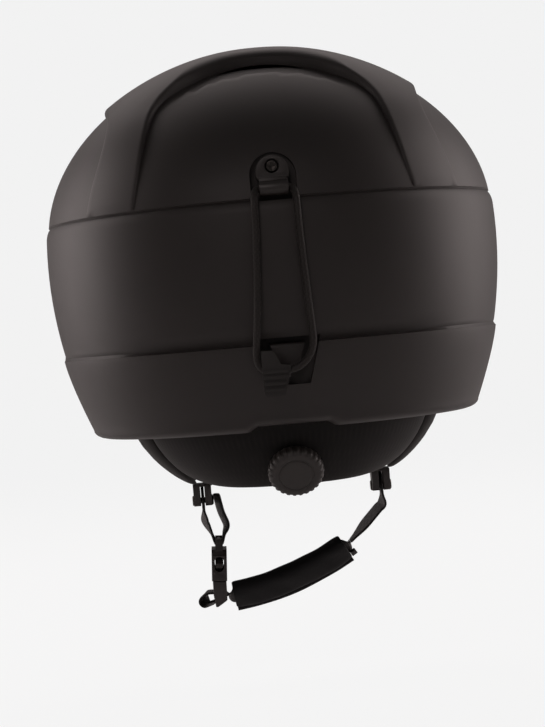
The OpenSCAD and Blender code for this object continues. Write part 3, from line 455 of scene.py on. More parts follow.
# Side panels: half length, height to their top and power of their superellipse
SIDE_HALF = 92
SIDE_RISE = 53
SIDE_POWER = 2.6


def lip_height(x):
    """Upper edge of the rear panel: falls with |x| to the power 2.5."""
    return LIP_TOP - 0.001 * np.abs(x) ** 2.5


def leg_line(z):
    """Half width of the rear panel between the crown's legs: a leaning superellipse of power 5, less
    0.4 mm for the rounding of its edge."""
    u = np.clip((z - LEG_FOOT) / LEG_RISE, 0, 1)
    return (LEG_HALF - LEG_LEAN * (z - LEG_FOOT)) * (1 - u ** 5) ** 0.2 - 0.4


def crown_foot_line():
    """Foot of the crown seen from behind, x and z: up one leg, over the trough and down the other leg.
    Its corners are rounded by averaging each point with its neighbours 14 times."""
    x = np.linspace(0, 60, 121)
    over = lip_height(x) + TROUGH_WIDTH - 0.0012 * x * x
    keep = x <= leg_line(over)
    z = np.arange(over[keep][-1] - 1.5, FOOT_LINE_END, -1.5)
    half = np.vstack([stacked(x[keep], over[keep])[::2], stacked(leg_line(z), z)])
    for _ in range(14):
        half[1:-1] = 0.25 * half[:-2] + 0.5 * half[1:-1] + 0.25 * half[2:]
    return np.vstack([half[:0:-1] * [-1, 1], half])


def side_foot_line():
    """Foot of the crown seen from the side, y and z: a superellipse over the ear."""
    t = np.radians(np.linspace(-4, 184, 140))
    y, z = bend(np.cos(t), 2 / SIDE_POWER), bend(np.sin(t), 2 / SIDE_POWER)
    return stacked(SIDE_HALF * y, LEG_FOOT + SIDE_RISE * z)


def resampled(line, step):
    """The line's points at equal steps along it."""
    s = along(line)
    t = np.linspace(0, s[-1], int(s[-1] / step) + 1)
    return np.stack([np.interp(t, s, line[:, k]) for k in range(line.shape[1])], 1)


class Feature:
    """A line drawn on the dome, with the direction across it at each point."""

    def __init__(self, shell, line, step=1.1):
        self.points = resampled(line, step)
        _, normal = shell.on_disc(shell.to_disc(self.points))
        self.across = unit(np.cross(normal, headings(self.points)))
        self.shell = shell

    def offset(self, distance, lowest=0):
        """Disc places of the line moved across itself, as runs of points that stay on the dome."""
        q = self.shell.to_disc(self.points + distance * self.across)
        keep = (np.linalg.norm(q, axis=1) < 0.996) & (self.points[:, 2] > lowest)
        cuts = np.flatnonzero(np.diff(keep.astype(int))) + 1
        return [run for run, k in zip(np.split(q, cuts), np.split(keep, cuts)) if k[0] and len(run) > 2]

    def distance(self, p):
        """Distance of points from the line, positive on the side that it faces."""
        out = np.empty(len(p))
        for start in range(0, len(p), 4000):
            part = p[start:start + 4000]
            gap = part[:, None] - self.points[None]
            square = np.einsum("ijk,ijk->ij", gap, gap)
            near = square.argmin(1)
            row = np.arange(len(part))
            side = np.einsum("ij,ij->i", gap[row, near], self.across[near])
            beside = np.einsum("ij,ij->i", gap[row, near], headings(self.points)[near])
            flat = np.sqrt(np.maximum(square[row, near] - beside ** 2, 0))
            out[start:start + 4000] = np.where(side >= 0, 1, -1) * flat
        return out


def flipped(line, axis):
    """A mirror image of a line, turned end for end so that it faces the same way."""
    sign = np.ones(3)
    sign[axis] = -1
    return (line * sign)[::-1]


def crown_features(shell):
    """The crown's foot lines at both ends and sides, and the lips of the two troughs."""
    x, z = crown_foot_line().T
    rear = shell.from_view(x, z, 0)[::-1]
    y, z = side_foot_line().T
    side = shell.from_view(y, z, 1)[::-1]
    x = np.linspace(-LIP_HALF, LIP_HALF, 93)
    lip = shell.from_view(x, lip_height(x), 0)[::-1]
    ends = [Feature(shell, rear), Feature(shell, flipped(rear, 1))]
    sides = [Feature(shell, side), Feature(shell, flipped(side, 0))]
    lips = [Feature(shell, lip, 0.9), Feature(shell, flipped(lip, 1), 0.9)]
    return ends, sides, lips


# Rounding of the crown's edge: its power, its width at the legs, over the troughs and at the sides
EDGE_POWER = 2.3
EDGE_LEG, EDGE_TROUGH, EDGE_SIDE = 1.7, 10.5, 3.2
# The crown stands this much higher beside the troughs, and that fades out over this distance inwards
TAIL_LIFT = 1.9
TAIL_FADE = 24


def crown_height(shell, p, q, ends, sides, lips):
    """Height of the crown's moulding over the dome: the lift, rounded to its foot lines by a quarter
    superellipse, and the troughs sunk between the foot lines and the lips."""
    to_end = np.min([f.distance(p) for f in ends], 0)
    to_side = np.min([f.distance(p) for f in sides], 0)
    share = 1 - np.linalg.norm(q, axis=1)
    tail = ease((p[:, 2] - 150) / 20) * np.exp(-(np.maximum(to_end, 0) / TAIL_FADE) ** 2)
    lift = mix(0.6, shell.lift, ease(2.2 * share)) + TAIL_LIFT * tail
    width = mix(EDGE_LEG, EDGE_TROUGH, ease((p[:, 2] - 161) / 11))
    gap = np.where(to_end < to_side, (to_end + 0.4) / width, (to_side + 0.4) / EDGE_SIDE)
    round_up = (1 - (1 - np.clip(gap, 0, 1)) ** EDGE_POWER) ** (1 / EDGE_POWER)
    above_lip = np.max([f.distance(p) for f in lips], 0)
    inside = (to_end < 0.2) & (p[:, 2] > lip_height(p[:, 0]) - 3)
    sunk = -TROUGH_DEPTH * ease(above_lip / 1.1) * ease((LIP_HALF - np.abs(p[:, 0])) / 17)
    trough = np.where(inside, sunk, 0)
    return trough * (1 - round_up) + lift * round_up


def feature_runs(ends, sides, lips):
    """Runs of disc places beside each feature line, closest together where the moulding bends most."""
    tight = (-2.4, -1.3, -0.75, -0.42, -0.3, 0.0, 0.5, 1.2, 2.2)
    runs = [r for f in ends for d in tight for r in f.offset(d)]
    runs += [r for f in ends for d in (3.6, 5.4, 7.6, 10.2) for r in f.offset(d, 152)]
    runs += [r for f in sides for d in (-1.4, -0.42, -0.3, 0.0, 0.5, 1.2, 2.2, 3.2) for r in f.offset(d)]
    runs += [r for f in lips for d in (-1.2, -0.25, 0.0, 0.25, 0.55, 0.85, 1.1) for r in f.offset(d)]
    return runs


def open_field(shell, lines, radius, step=3.6, clear=1.9):
    """Disc places in rings about step apart on a disc of the given radius, less those within clear of a
    line's points on the dome."""
    rings = []
    for rho in np.linspace(0.975, 0.02, 46):
        m = max(6, int(2 * math.pi * rho * radius / step))
        t = 2 * math.pi * (np.arange(m) + 0.5 * (len(rings) % 2)) / m
        rings.append(rho * stacked(np.cos(t), np.sin(t)))
    field = np.vstack(rings)
    line_points = shell.on_disc(lines)[0]
    field_points = shell.on_disc(field)[0]
    free = np.ones(len(field), bool)
    for start in range(0, len(field), 1000):
        gap = field_points[start:start + 1000, None] - line_points[None]
        free[start:start + 1000] = np.einsum("ijk,ijk->ij", gap, gap).min(1) > clear ** 2
    return field[free]


def dome_mesh(shell, angles):
    """Crown of the shell: places on a disc joined into triangles that follow its feature lines, then
    raised over the dome. The first points are the foot's, one for each angle."""
    ends, sides, lips = crown_features(shell)
    radius = 150
    n = len(angles)
    places = [stacked(np.cos(angles), np.sin(angles))]
    edges = [np.stack([np.arange(n), (np.arange(n) + 1) % n], 1)]
    count = n
    for run in feature_runs(ends, sides, lips):
        places.append(run)
        k = np.arange(len(run) - 1) + count
        edges.append(np.stack([k, k + 1], 1))
        count += len(run)
    lines = np.vstack(places)
    disc = np.vstack([lines, open_field(shell, lines, radius)])
    result = delaunay_2d_cdt([Vector(p) for p in disc * radius], np.vstack(edges).tolist(), [], 0, 1e-5)
    q = np.array([tuple(v) for v in result[0]]) / radius
    faces = np.array([f for f in result[2] if len(f) == 3])
    p, normal = shell.on_disc(q)
    height = crown_height(shell, p, q, ends, sides, lips)
    height[np.linalg.norm(q, axis=1) > 0.9999] = 0
    return p + normal * height[:, None], faces, q


# Rim's rounding: width and height of its quarter ellipse
RIM_IN, RIM_UP = 6, 4
# Notch in the rear rim: its depth, its half width at the rim and the run of its slanting sides
NOTCH_DEPTH, NOTCH_HALF, NOTCH_SLANT = 2.6, 25, 5.3
# Cove under the belt at the rear: its depth, its half width and the run over which it fades sideways
COVE_DEPTH, COVE_HALF, COVE_FADE = 1.2, 82, 30
# Upper edge of the belt: its height, and how far it draws in
TURN_UP, TURN_IN = 5.4, 1.0


def shell_rows(shell, a):
    """Rings of the shell's outside from its rim to the dome's foot, as half widths and heights."""
    x, y = plan(a)
    xr = shell.half * x
    rear = y > 0
    notch = np.where(rear, NOTCH_DEPTH * np.clip((NOTCH_HALF - np.abs(xr)) / NOTCH_SLANT, 0, 1), 0)
    rim, low, high = shell.rim(a) + notch, shell.low(a), shell.high(a)
    # Rounded rim, and the band up to the lower crease
    edge = shell.band(a, shell.rim(a) + RIM_UP + notch)
    turns = np.radians([0, 14, 30, 46, 62, 76, 90])
    rows = [(edge - RIM_IN * (1 - math.sin(t)), rim + RIM_UP * (1 - math.cos(t))) for t in turns]
    for w in (0.12, 0.25, 0.4, 0.55, 0.7, 0.83, 0.93, 0.985, 1.0):
        z = mix(rim + RIM_UP, low, w)
        rows.append((shell.band(a, z), z))
    # Lower crease, and the cove that rises from it and runs out into the belt
    cove = np.where(rear, ease((COVE_HALF - np.abs(xr)) / COVE_FADE), 0)
    top = shell.band(a, low)
    rows.append((top - 0.3, low + 0.12))
    rows.append((mix(shell.belt(low) + 0.1, shell.belt(low) - 1.0, cove), low + mix(1.5, 0.45, cove)))
    for step in (1.0, 2.0, 3.2, 4.6, 6.0, 7.4, 9.0):
        z = low + 1.6 * (1 - cove) + step
        rows.append((shell.belt(z) - COVE_DEPTH * cove * (1 - ease((step - 0.4) / 7.2)), z))
    # Belt, whose upper edge draws in by the power 2.6, and the dome's foot above the upper crease
    for w in np.linspace(0, 1, 9):
        z = mix(low + 12, high - 6, w)
        rows.append((shell.belt(z), z))
    for v in (0.2, 0.4, 0.58, 0.74, 0.87, 0.96, 1.0):
        z = high - TURN_UP + TURN_UP * v
        rows.append((shell.belt(z) - TURN_IN * v ** 2.6, z))
    foot_hw, _ = shell.dome(shell.foot(a))
    rows.append((foot_hw - 0.55, high + 0.7))
    rows.append((foot_hw - 0.45, high + 1.0))
    return rows


# Recesses of the retainer: half width of the bracket's, depth of the bracket's and of the catch's
BRACKET_HALF = 10.4
BRACKET_DEPTH = 11.5
CATCH_DEPTH = 16
# Bosses behind them. Upper: half width, foot, top and depth
UPPER_HALF, UPPER_FOOT, UPPER_TOP, UPPER_DEPTH = 13.6, 99, RECESS_TOP + 3.4, 14.6
# Lower: half widths at its foot and top, the height over which it widens, foot, top and depth
LOWER_HALVES, LOWER_WIDENING = (12.4, 18.4), 27.8
LOWER_FOOT, LOWER_TOP, LOWER_DEPTH = 17.4, 45.4, 19.2


def boss_pushed(p, clear=0.0):
    """Points behind the retainer's recesses pushed forward, so that the recesses keep a wall."""
    x, z = np.abs(p[..., 0]), p[..., 2]
    rear = size_of("shell_length") / 2
    behind = p[..., 1] > 0
    upper = (x < UPPER_HALF + clear) & (z > UPPER_FOOT - clear) & (z < UPPER_TOP + clear) & behind
    half = mix(*LOWER_HALVES, np.clip((z - LOWER_FOOT) / LOWER_WIDENING, 0, 1)) + clear
    lower = (x < half) & (z > LOWER_FOOT - clear) & (z < LOWER_TOP + clear) & behind
    y = np.where(upper, np.minimum(p[..., 1], rear - UPPER_DEPTH - clear), p[..., 1])
    y = np.where(lower, np.minimum(y, rear - LOWER_DEPTH - clear), y)
    return stacked(p[..., 0], y, p[..., 2])


def shell_wall(shell, a):
    """The inside of the moulding, from its rim up to near the pole, pushed forward behind the recesses."""
    rim_hw, rim_z = shell_rows(shell, a)[0]
    rows = [(rim_hw - 2.6, shell.rim(a)), (rim_hw - 2.9, shell.rim(a) + 2.4)]
    band_z = [mix(shell.rim(a) + 7, shell.low(a), w) for w in (0, 0.25, 0.5, 0.75, 1)]
    rows += [(shell.band(a, z) - shell.wall - 0.3, z) for z in band_z[:4]]
    rows += [(shell.belt(band_z[4]) - shell.wall - 0.6, band_z[4])]
    belt_z = [mix(shell.low(a) + 5, shell.high(a), w) for w in np.linspace(0, 1, 6)]
    rows += [(shell.belt(z) - shell.wall, z) for z in belt_z]
    climb = np.linspace(0.02, 0.97, 18)
    rows += [shell.dome(mix(shell.foot(a), math.pi / 2, w), shell.wall) for w in climb]
    wall = boss_pushed(np.array([shell.point(a, hw, z) for hw, z in rows]))
    wall[0, :, 2] = rim_z
    wall[1, :, 2] = np.maximum(wall[1, :, 2], rim_z + 1)
    return wall


def shell_openings():
    """Cutters for the bracket's arched recess, the catch's recess and the vent slits under both lips."""
    rear = size_of("shell_length") / 2
    t = np.radians(np.linspace(0, 180, 33))
    arc = stacked(BRACKET_HALF * np.cos(t), RECESS_TOP - BRACKET_HALF + BRACKET_HALF * np.sin(t))
    arch = np.vstack([arc, [[-BRACKET_HALF, 103], [BRACKET_HALF, 103]]])
    catch = [[9.2, 20.6], [15, 42], [-15, 42], [-9.2, 20.6]]
    u = np.linspace(-1, 1, 25)
    slit_half = 21
    low = lip_height(slit_half * u) + 0.3
    high = low + 2.3 * (1 - u * u) + 0.05
    slit = np.vstack([stacked(slit_half * u, low), stacked(slit_half * u, high)[-2:0:-1]])
    return (prism(arch[::-1], rear - BRACKET_DEPTH, rear + 20), prism(catch, rear - CATCH_DEPTH, rear + 20),
            prism(slit, 30, 120), prism(slit, -120, -30))


def build_shell(finish):
    """Outer shell: rings from the rim to the dome, the dome's triangles, and the wall inside them."""
    shell = Shell()
    n = 480
    a = np.arange(n) * 2 * math.pi / n
    outer = np.array([shell.point(a, hw, z) for hw, z in shell_rows(shell, a)])
    dome, dome_faces, q = dome_mesh(shell, a)
    rows = np.concatenate([shell_wall(shell, a)[::-1], outer])
    verts, faces, _ = grid(rows, capped=False)
    base = len(verts)
    pole = np.array([[0, 0, shell.top - shell.wall]])
    k = np.arange(n)
    faces += np.stack([np.full(n, base), (k + 1) % n, k], 1).tolist()
    verts = np.vstack([verts, pole, dome])
    top_row = (len(rows) - 1) * n
    ring = base + 1 + k
    ring_next = base + 1 + (k + 1) % n
    faces += np.stack([top_row + k, top_row + (k + 1) % n, ring_next, ring], 1).tolist()
    corner = dome_faces + base + 1
    area = np.cross(q[dome_faces[:, 1]] - q[dome_faces[:, 0]], q[dome_faces[:, 2]] - q[dome_faces[:, 0]])
    corner[area < 0] = corner[area < 0][:, ::-1]
    faces += corner.tolist()
    obj = new_object("shell_moulding", verts, faces)
    cut(obj, *shell_openings())
    crease(obj, 32)
    place_piece(obj, finish, "outer_shell")


# Liner and pads


def cavity_half(z):
    """Half width of the head cavity: upright at first, then a superellipse."""
    up = np.clip((z - CAVITY_UPRIGHT) / (size_of("cavity_height") - CAVITY_UPRIGHT), 0, 1)
    return size_of("cavity_width") / 2 * (1 - up ** CAVITY_POWER) ** (1 / CAVITY_POWER)


def on_cavity(a, z, depth):
    """Point of the cavity's wall at plan angle a, moved inwards by depth."""
    h = cavity_half(z)
    x, y = plan(a)
    return stacked((h - depth) * x, (h * size_of("cavity_length") / size_of("cavity_width") - depth) * y, z)


def on_bowl(a, z, depth):
    """Point of the hanging pads' outer face, moved inwards by depth: below height 12 it curls in by the
    power 1.9, and 40 mm lower it is 27 mm in at the sides and 14 mm at the nape."""
    t = np.clip((12 - z) / 40, 0, None) ** 1.9
    x, y = plan(a)
    hw, hl = size_of("cavity_width") / 2 - 0.5, size_of("cavity_length") / 2 - 0.5
    return stacked((hw - 27 * t - depth) * x, (hl - 14 * t - depth) * y, z)


def liner_roof(start):
    """Heights of the cavity's rings from its foot to its roof, by a quarter superellipse's angle. Where
    the foot is upright the first rings are spread evenly instead."""
    tall = size_of("cavity_height") - CAVITY_UPRIGHT
    foot = np.arcsin(np.clip((start + 2 - CAVITY_UPRIGHT) / tall, 0, 1) ** (CAVITY_POWER / 2))
    even = 0.3

    def height(w):
        """Height at share w of the angle from the foot to the roof."""
        return CAVITY_UPRIGHT + tall * np.sin(mix(foot, math.pi / 2, w)) ** (2 / CAVITY_POWER)

    for w in np.linspace(0.04, 0.985, 22):
        yield np.where((w < even) & (foot == 0), mix(start, height(even), w / even), height(w))


def build_liner(finish):
    """Bead foam liner: rings under the shell, over its lower edge, and up the head cavity to its roof."""
    shell = Shell()
    n = 192
    a = np.arange(n) * 2 * math.pi / n
    d = shell.wall + 0.6
    rows = [shell.dome(mix(shell.foot(a), math.pi / 2, w), d) for w in np.linspace(0.97, 0, 16)]
    belt_z = [mix(shell.low(a) + 4, shell.high(a), w) for w in (0.9, 0.5, 0.1)]
    rows += [(shell.belt(z) - d, z) for z in belt_z]
    for w, step in ((1, 1.2), (0.75, 0), (0.5, 0), (0.3, 0)):
        z = mix(shell.rim(a), shell.low(a), w)
        rows.append((shell.band(a, z) - d - step, z))
    outer = boss_pushed(np.array([shell.point(a, hw, z) for hw, z in rows]), 0.5)
    edge = shell_rows(shell, a)[0][0] - 3.4
    lip = shell.rim(a) + 3
    bottom = np.array([shell.point(a, edge, lip), shell.point(a, edge - 1.5, lip - 0.4)])
    start = np.maximum(lip + 2, 5)
    mouth = shell.point(a, size_of("cavity_width") / 2 + 2, lip - 0.2)
    inner = [mix(mouth, on_cavity(a, start, 0), w) for w in (0, 0.5, 1)]
    inner += [on_cavity(a, z, 0) for z in liner_roof(start)]
    obj = surface("bead_foam_liner", np.concatenate([outer, bottom, np.array(inner)]))
    slots = []
    for sign in (1, -1):
        turn = Matrix.Rotation(math.radians(-42 * sign), 4, "X")
        place = Matrix.Translation((0, 72 * sign * MM, 169 * MM)) @ turn
        slots.append(prism([[-20, -45], [20, -45], [20, 45], [-20, 45]], -3.5, 3.5, place))
    cut(obj, *slots)
    crease(obj, 35)
    place_piece(obj, finish, "foam_liner")


def cushion(name, place, a0, a1, low, high, thick, gap, steps, loops=36, power=6, channels=()):
    """Padded band: a rounded section carried round the head between angles a0 and a1, whose thickness
    closes at both ends by 1 - |v|^power, with sewn channels where its inner face dips by 0.28 of it."""
    u = np.linspace(0, 1, steps + 1)[:, None]
    v = 2 * u - 1
    a = np.radians(mix(a0, a1, 0.5 + 0.5 * bend(v, 0.85)))
    full = np.maximum(0.22, np.sqrt(1 - np.abs(v) ** power))
    b = -2 * math.pi * np.arange(loops)[None, :] / loops
    s, q = bend(np.cos(b), 0.6), bend(np.sin(b), 0.8)
    middle, half = (low(a) + high(a)) / 2, (high(a) - low(a)) / 2
    z = middle + half * s * mix(1, full, 0.45)
    dip = sum((np.exp(-((s - c) / 0.05) ** 2) for c in channels), 0 * s)
    body = thick / 2 * (1 - q * full)
    body = np.where(q < 0, body - 0.28 * thick * dip * np.abs(q) * full, body)
    return surface(name, place(a, z, gap + body))


def flat_edge(value):
    """An edge of a pad that stays at one height all round."""
    return lambda a: 0 * a + value


def add_pad(obj, node, finish, cap):
    """Swells a cushion, gives it its finish, hides its CAD pad and rides it on the pad's body."""
    swell(obj, cap)
    place_piece(obj, finish, node)


def build_comfort_pads(knit):
    """Brow, side and rear pads on the cavity's wall."""
    shell = Shell()
    thick = size_of("comfort_pad")
    brow = cushion("brow_cushion", on_cavity, -148, -32, lambda a: shell.rim(a) + 5,
                   lambda a: shell.rim(a) + 29, thick, 0.6, 96, channels=(0,))
    add_pad(brow, "brow_pad", knit, 0.5)
    for side, sign in SIDES:
        obj = cushion(f"side_cushion_{side}", on_cavity, -22, 34, flat_edge(62), flat_edge(104), thick,
                      0.6, 48, channels=(-0.35, 0.35))
        mirror_x(obj, sign)
        add_pad(obj, f"side_pad_{side}", knit, 0.5)
    rear = cushion("rear_cushion", on_cavity, 52, 128, flat_edge(38), flat_edge(82), thick, 0.6, 72,
                   channels=(-0.3, 0.3))
    add_pad(rear, "rear_pad", knit, 0.5)


def build_crown_pad(knit):
    """Crown pad: a disc on the cavity's roof, quilted underneath by a product of two cosines."""
    thick = size_of("comfort_pad")
    radius, quilt_step = 44, 22
    r = np.concatenate([np.linspace(0.08, 1, 16), [1.03], np.linspace(0.99, 0.08, 16)])[:, None]
    t = (np.arange(96) * 2 * math.pi / 96)[None, :]
    x, y = plan(t)
    k = radius * r
    half, tall = size_of("cavity_width") / 2, size_of("cavity_height") - CAVITY_UPRIGHT
    roof = CAVITY_UPRIGHT + tall * (1 - (k / half) ** CAVITY_POWER) ** (1 / CAVITY_POWER)
    row = np.arange(len(r))[:, None]
    quilt = 0.5 + 0.5 * np.cos(2 * math.pi * k * x / quilt_step) * np.cos(2 * math.pi * k * y / quilt_step)
    edge = np.sqrt(np.clip(1 - (k / (radius + 1.4)) ** 8, 0, 1))
    depth = np.where(row > 16, thick * (0.45 + 0.55 * edge) - 1.1 * quilt * edge, 0.9)
    depth = np.where(row == 16, thick / 2, depth)
    long = size_of("cavity_length") / size_of("cavity_width")
    obj = surface("crown_cushion", stacked(k * x, k * long * y, roof - depth))
    add_pad(obj, "crown_pad", knit, 0.4)


def build_nape_pad(stretch):
    """Nape pad: hangs below the rear rim, cut out for the dial's shaft, housing and bands."""
    nape = cushion("nape_cushion", on_bowl, 26, 154,
                   lambda a: -size_of("nape_drop") + 4 * np.abs((np.degrees(a) - 90) / 64) ** 4,
                   flat_edge(14), size_of("nape_pad"), 0.3, 120, loops=44)
    swell(nape, 0.35)
    t = np.radians(np.linspace(0, 360, 33)[:-1])
    turn = dial_matrix() @ Matrix.Rotation(math.pi / 2, 4, "X")
    shaft = prism(stacked(6.9 * np.cos(t), 6.9 * np.sin(t)), -20, 40, turn)
    housing = prism([[-18.8, -9.3], [18.8, -9.3], [18.8, 9.3], [-18.8, 9.3]], 9.7, 24.2, turn)
    bands = prism([[-33, -9.3], [33, -9.3], [33, 9.3], [-33, 9.3]], 11.4, 24.2, turn)
    cut(nape, shaft, housing, bands)
    crease(nape, 40)
    place_piece(nape, stretch, "nape_pad")


def ear_low(a):
    """Lower edge of the ear pads: rises by a smooth step to the front and a little to the rear."""
    d = np.degrees(a)
    return -26.5 + 36 * ease((-8 - d) / 26) + 4 * ease((d - 12) / 14)


def build_ear_pads(stretch):
    """Ear pads that hang below the rim on both sides."""
    shell = Shell()
    for side, sign in SIDES:
        obj = cushion(f"ear_cushion_{side}", on_bowl, -34, 23.5, ear_low, lambda a: 14 + shell.rim(a),
                      size_of("ear_pad"), 0.3, 80, loops=44)
        mirror_x(obj, sign)
        add_pad(obj, f"ear_pad_{side}", stretch, 0.35)


def mirror_x(obj, sign):
    """Mirrors a mesh through x = 0 where sign is -1, and turns its faces outwards again."""
    if sign < 0:
        obj.data.transform(Matrix.Scale(-1, 4, (1, 0, 0)))
        obj.data.flip_normals()


# Fit dial


def dial_matrix():
    """Place of the dial in metres: its own Z points out of the nape along its axis."""
    joint = next(j for j in frame["joints"] if j["name"] == "dial_turn")
    axis = Vector(joint["axis"])
    across = Vector((1, 0, 0))
    turn = Matrix((across, axis.cross(across), axis)).transposed().to_4x4()
    return Matrix.Translation(joint["pos_m"]) @ turn


KNURLS = 26
KNURL_DEPTH = 0.45
# Gap between the knob and the nape pad
KNOB_GAP = 0.4


def knob_profile(r, h):
    """Radii and heights of the knob: a rounded foot, an upright side, a rounded shoulder, a ring groove."""
    foot = [(3.1, 0.3), (3.2, 0), (r - 1.4, 0), (r - 0.7, 0.15), (r - 0.2, 0.5), (r, 1.1), (r, 2.2)]
    shoulder = [(0, 2.6), (0.15, 2.0), (0.6, 1.3), (1.2, 0.75), (2.0, 0.32), (3.0, 0.08), (4.2, 0)]
    groove = [(4.45, 0.05), (4.7, 0.38), (5.2, 0.42), (5.5, 0.1), (5.8, 0.02)]
    face = [(8.0, 0.05), (11.5, 0.1), (r - 0.3, 0.1)]
    top = [(r - inwards, h - down) for inwards, down in shoulder + groove + face]
    rad, z = np.array(foot + top).T
    return rad[:, None], KNOB_GAP + z[:, None]


def build_dial(textured, nylon, steel):
    """Knob turned from a profile whose radius dips by a row of rounded knurls round its side."""
    r = size_of("dial_width") / 2
    rad, z = knob_profile(r, size_of("dial_height"))
    t = np.linspace(0, 2 * math.pi, KNURLS * 14 + 1)[None, :-1]
    wave = np.clip(0.5 + 0.95 * np.cos(KNURLS * t), 0, 1)
    grip = ease((rad - (r - 1.9)) / 1.0) * ease((z - KNOB_GAP - 0.2) / 0.6)
    rad = rad - KNURL_DEPTH * (1 - ease(wave)) * grip
    obj = surface("dial_cap", stacked(rad * np.cos(t), rad * np.sin(t), z + 0 * t))
    obj.data.transform(dial_matrix())
    crease(obj, 50)
    place_piece(obj, textured, "dial_knob")
    for node, width in (("dial_housing", 0.3), ("housing_cover", 0.3), ("dial_hanger", 0.4),
                        ("band_left", 0.1), ("band_right", 0.1), ("dial_pinion", 0.04)):
        dress(node, nylon, width)
    dress("dial_screw", steel, 0.15)


# Goggle retainer

# Route of the cord's centre line: over the bracket's barrel, down the rear, round under the catch, back up
CORD_ROUTE = (
    (0, 134, 108.5), (5.8, 134, 108.5), (8.2, 135, 107.8), (9.2, 138.1, 105), (9.4, 140.2, 101),
    (9.7, 140.6, 90), (10.6, 140.4, 75), (12, 139.6, 56), (13.4, 137.8, 43), (14.1, 136.2, 36.4),
    (13.9, 135.7, 31.8), (12, 135.8, 28.6), (8.6, 136, 27.5), (4.5, 136, 27.4), (0.4, 136, 27.6),
    (-4.2, 136.1, 28.6), (-8.6, 136.5, 32.2), (-11.3, 137.2, 38), (-11.4, 138, 46), (-10.6, 139.6, 62),
    (-9.9, 140.4, 78), (-9.5, 140.6, 92), (-9.4, 140.2, 101), (-9.2, 138.1, 105), (-8.2, 135, 107.8),
    (-5.8, 134, 108.5))


def build_cord(finish):
    """Elastic cord: a circle carried round the closed route, its UV running along and round the braid."""
    path = spline(CORD_ROUTE, 12, closed=True)
    t = headings(path, closed=True)
    u = unit(np.cross(t, [0, 1, 0]))
    v = np.cross(t, u)
    r = size_of("cord_width") / 2
    sides = 20
    b = np.arange(sides) * 2 * math.pi / sides
    out = np.cos(b)[None, :, None] * u[:, None] + np.sin(b)[None, :, None] * v[:, None]
    girth = np.arange(sides + 1) * 2 * math.pi * r / sides
    run = along(np.vstack([path, path[:1]]))
    obj = surface("elastic_cord", path[:, None] + r * out, closed=True, pattern=(girth, run))
    place_piece(obj, finish, "elastic_loop")


def build_retainer(nylon, steel, rubber, shell_finish):
    """Bracket, screw, nut, catch and pull tab, with their edges rounded."""
    dress("strap_bracket", nylon, 0.45, segments=3)
    dress("bracket_screw", steel, 0.12)
    dress("bracket_nut", steel, 0.15)
    dress("tab_catch", shell_finish, 0.35)
    dress("hook_tab", rubber, 0.3)


# Webbing


def web_section(sides=20):
    """Outline of flat webbing, 1 wide and 1 thick: a superellipse with tight rounded edges."""
    b = np.arange(sides) * 2 * math.pi / sides
    return stacked(0.5 * bend(np.cos(b), 0.42), 0.5 * bend(np.sin(b), 0.55))


def ribbon(name, path, side, face, width, thick):
    """Webbing: its section carried along a path; width may change along it, and UV follows the weave."""
    width = np.broadcast_to(np.asarray(width, float), (len(path),))
    section = web_section()
    points = (path[:, None] + section[None, :, 0:1] * width[:, None, None] * side[:, None]
              + section[None, :, 1:2] * thick * face[:, None])
    w = size_of("web_width")
    edge = np.linalg.norm(np.diff(np.vstack([section, section[:1]]) * [w, thick], axis=0), axis=1)
    girth = np.concatenate([[0], np.cumsum(edge)])
    return surface(name, points, pattern=(girth, np.append(along(path), 0)))


# Height of the legs' lower end, and how much narrower they are there
LEG_END = -30
LEG_NARROWING = 6.4


def leg(name, web, a0, z0, a1, start, run, sign):
    """One leg: from plan angle a0 and height z0 to angle a1 at its end, its depth growing from start to
    outside the ear pad over the share run of its length, and its width narrowing towards the divider."""
    out = size_of("ear_pad") + 2.8
    u = np.linspace(0, (z0 - LEG_END - 2) / (z0 - LEG_END), 70)

    def at(u):
        """Middle of the leg at share u of its length."""
        depth = mix(start, out, ease(u / run)) - 1.2 * ease((u - 0.85) / 0.15)
        return on_bowl(np.radians(mix(a0, a1, u)), mix(z0, LEG_END, u), depth)

    t = unit(at(u + 0.02) - at(u - 0.02))
    a, z = np.radians(mix(a0, a1, u)), mix(z0, LEG_END, u)
    step = math.radians(1)
    round_head = on_bowl(a + step, z, 0) - on_bowl(a - step, z, 0)
    normal = unit(np.cross(round_head, on_bowl(a, z + 1, 0) - on_bowl(a, z - 1, 0)))
    side = unit(np.cross(t, normal))
    width = size_of("web_width") - LEG_NARROWING * ease((u - 0.6) / 0.4)
    obj = ribbon(name + "_webbing", at(u), side, np.cross(side, t), width, size_of("web_thick"))
    mirror_x(obj, sign)
    place_piece(obj, web, name)


def build_legs(web):
    """Four webbing legs: each runs from its anchor down the inside of the ear pad to the divider."""
    for side, sign in SIDES:
        leg(f"leg_front_{side}", web, -20, 60, -8.8, 5.2, 0.13, sign)
        leg(f"leg_rear_{side}", web, 17, 25, -3.4, 3.6, 0.17, sign)


# Plane of the lower straps, height of the rivets that they swing on, and how far they lean
STRAP_Y = -10
SWING_Z = -36.8
STRAP_LEAN = math.radians(13)
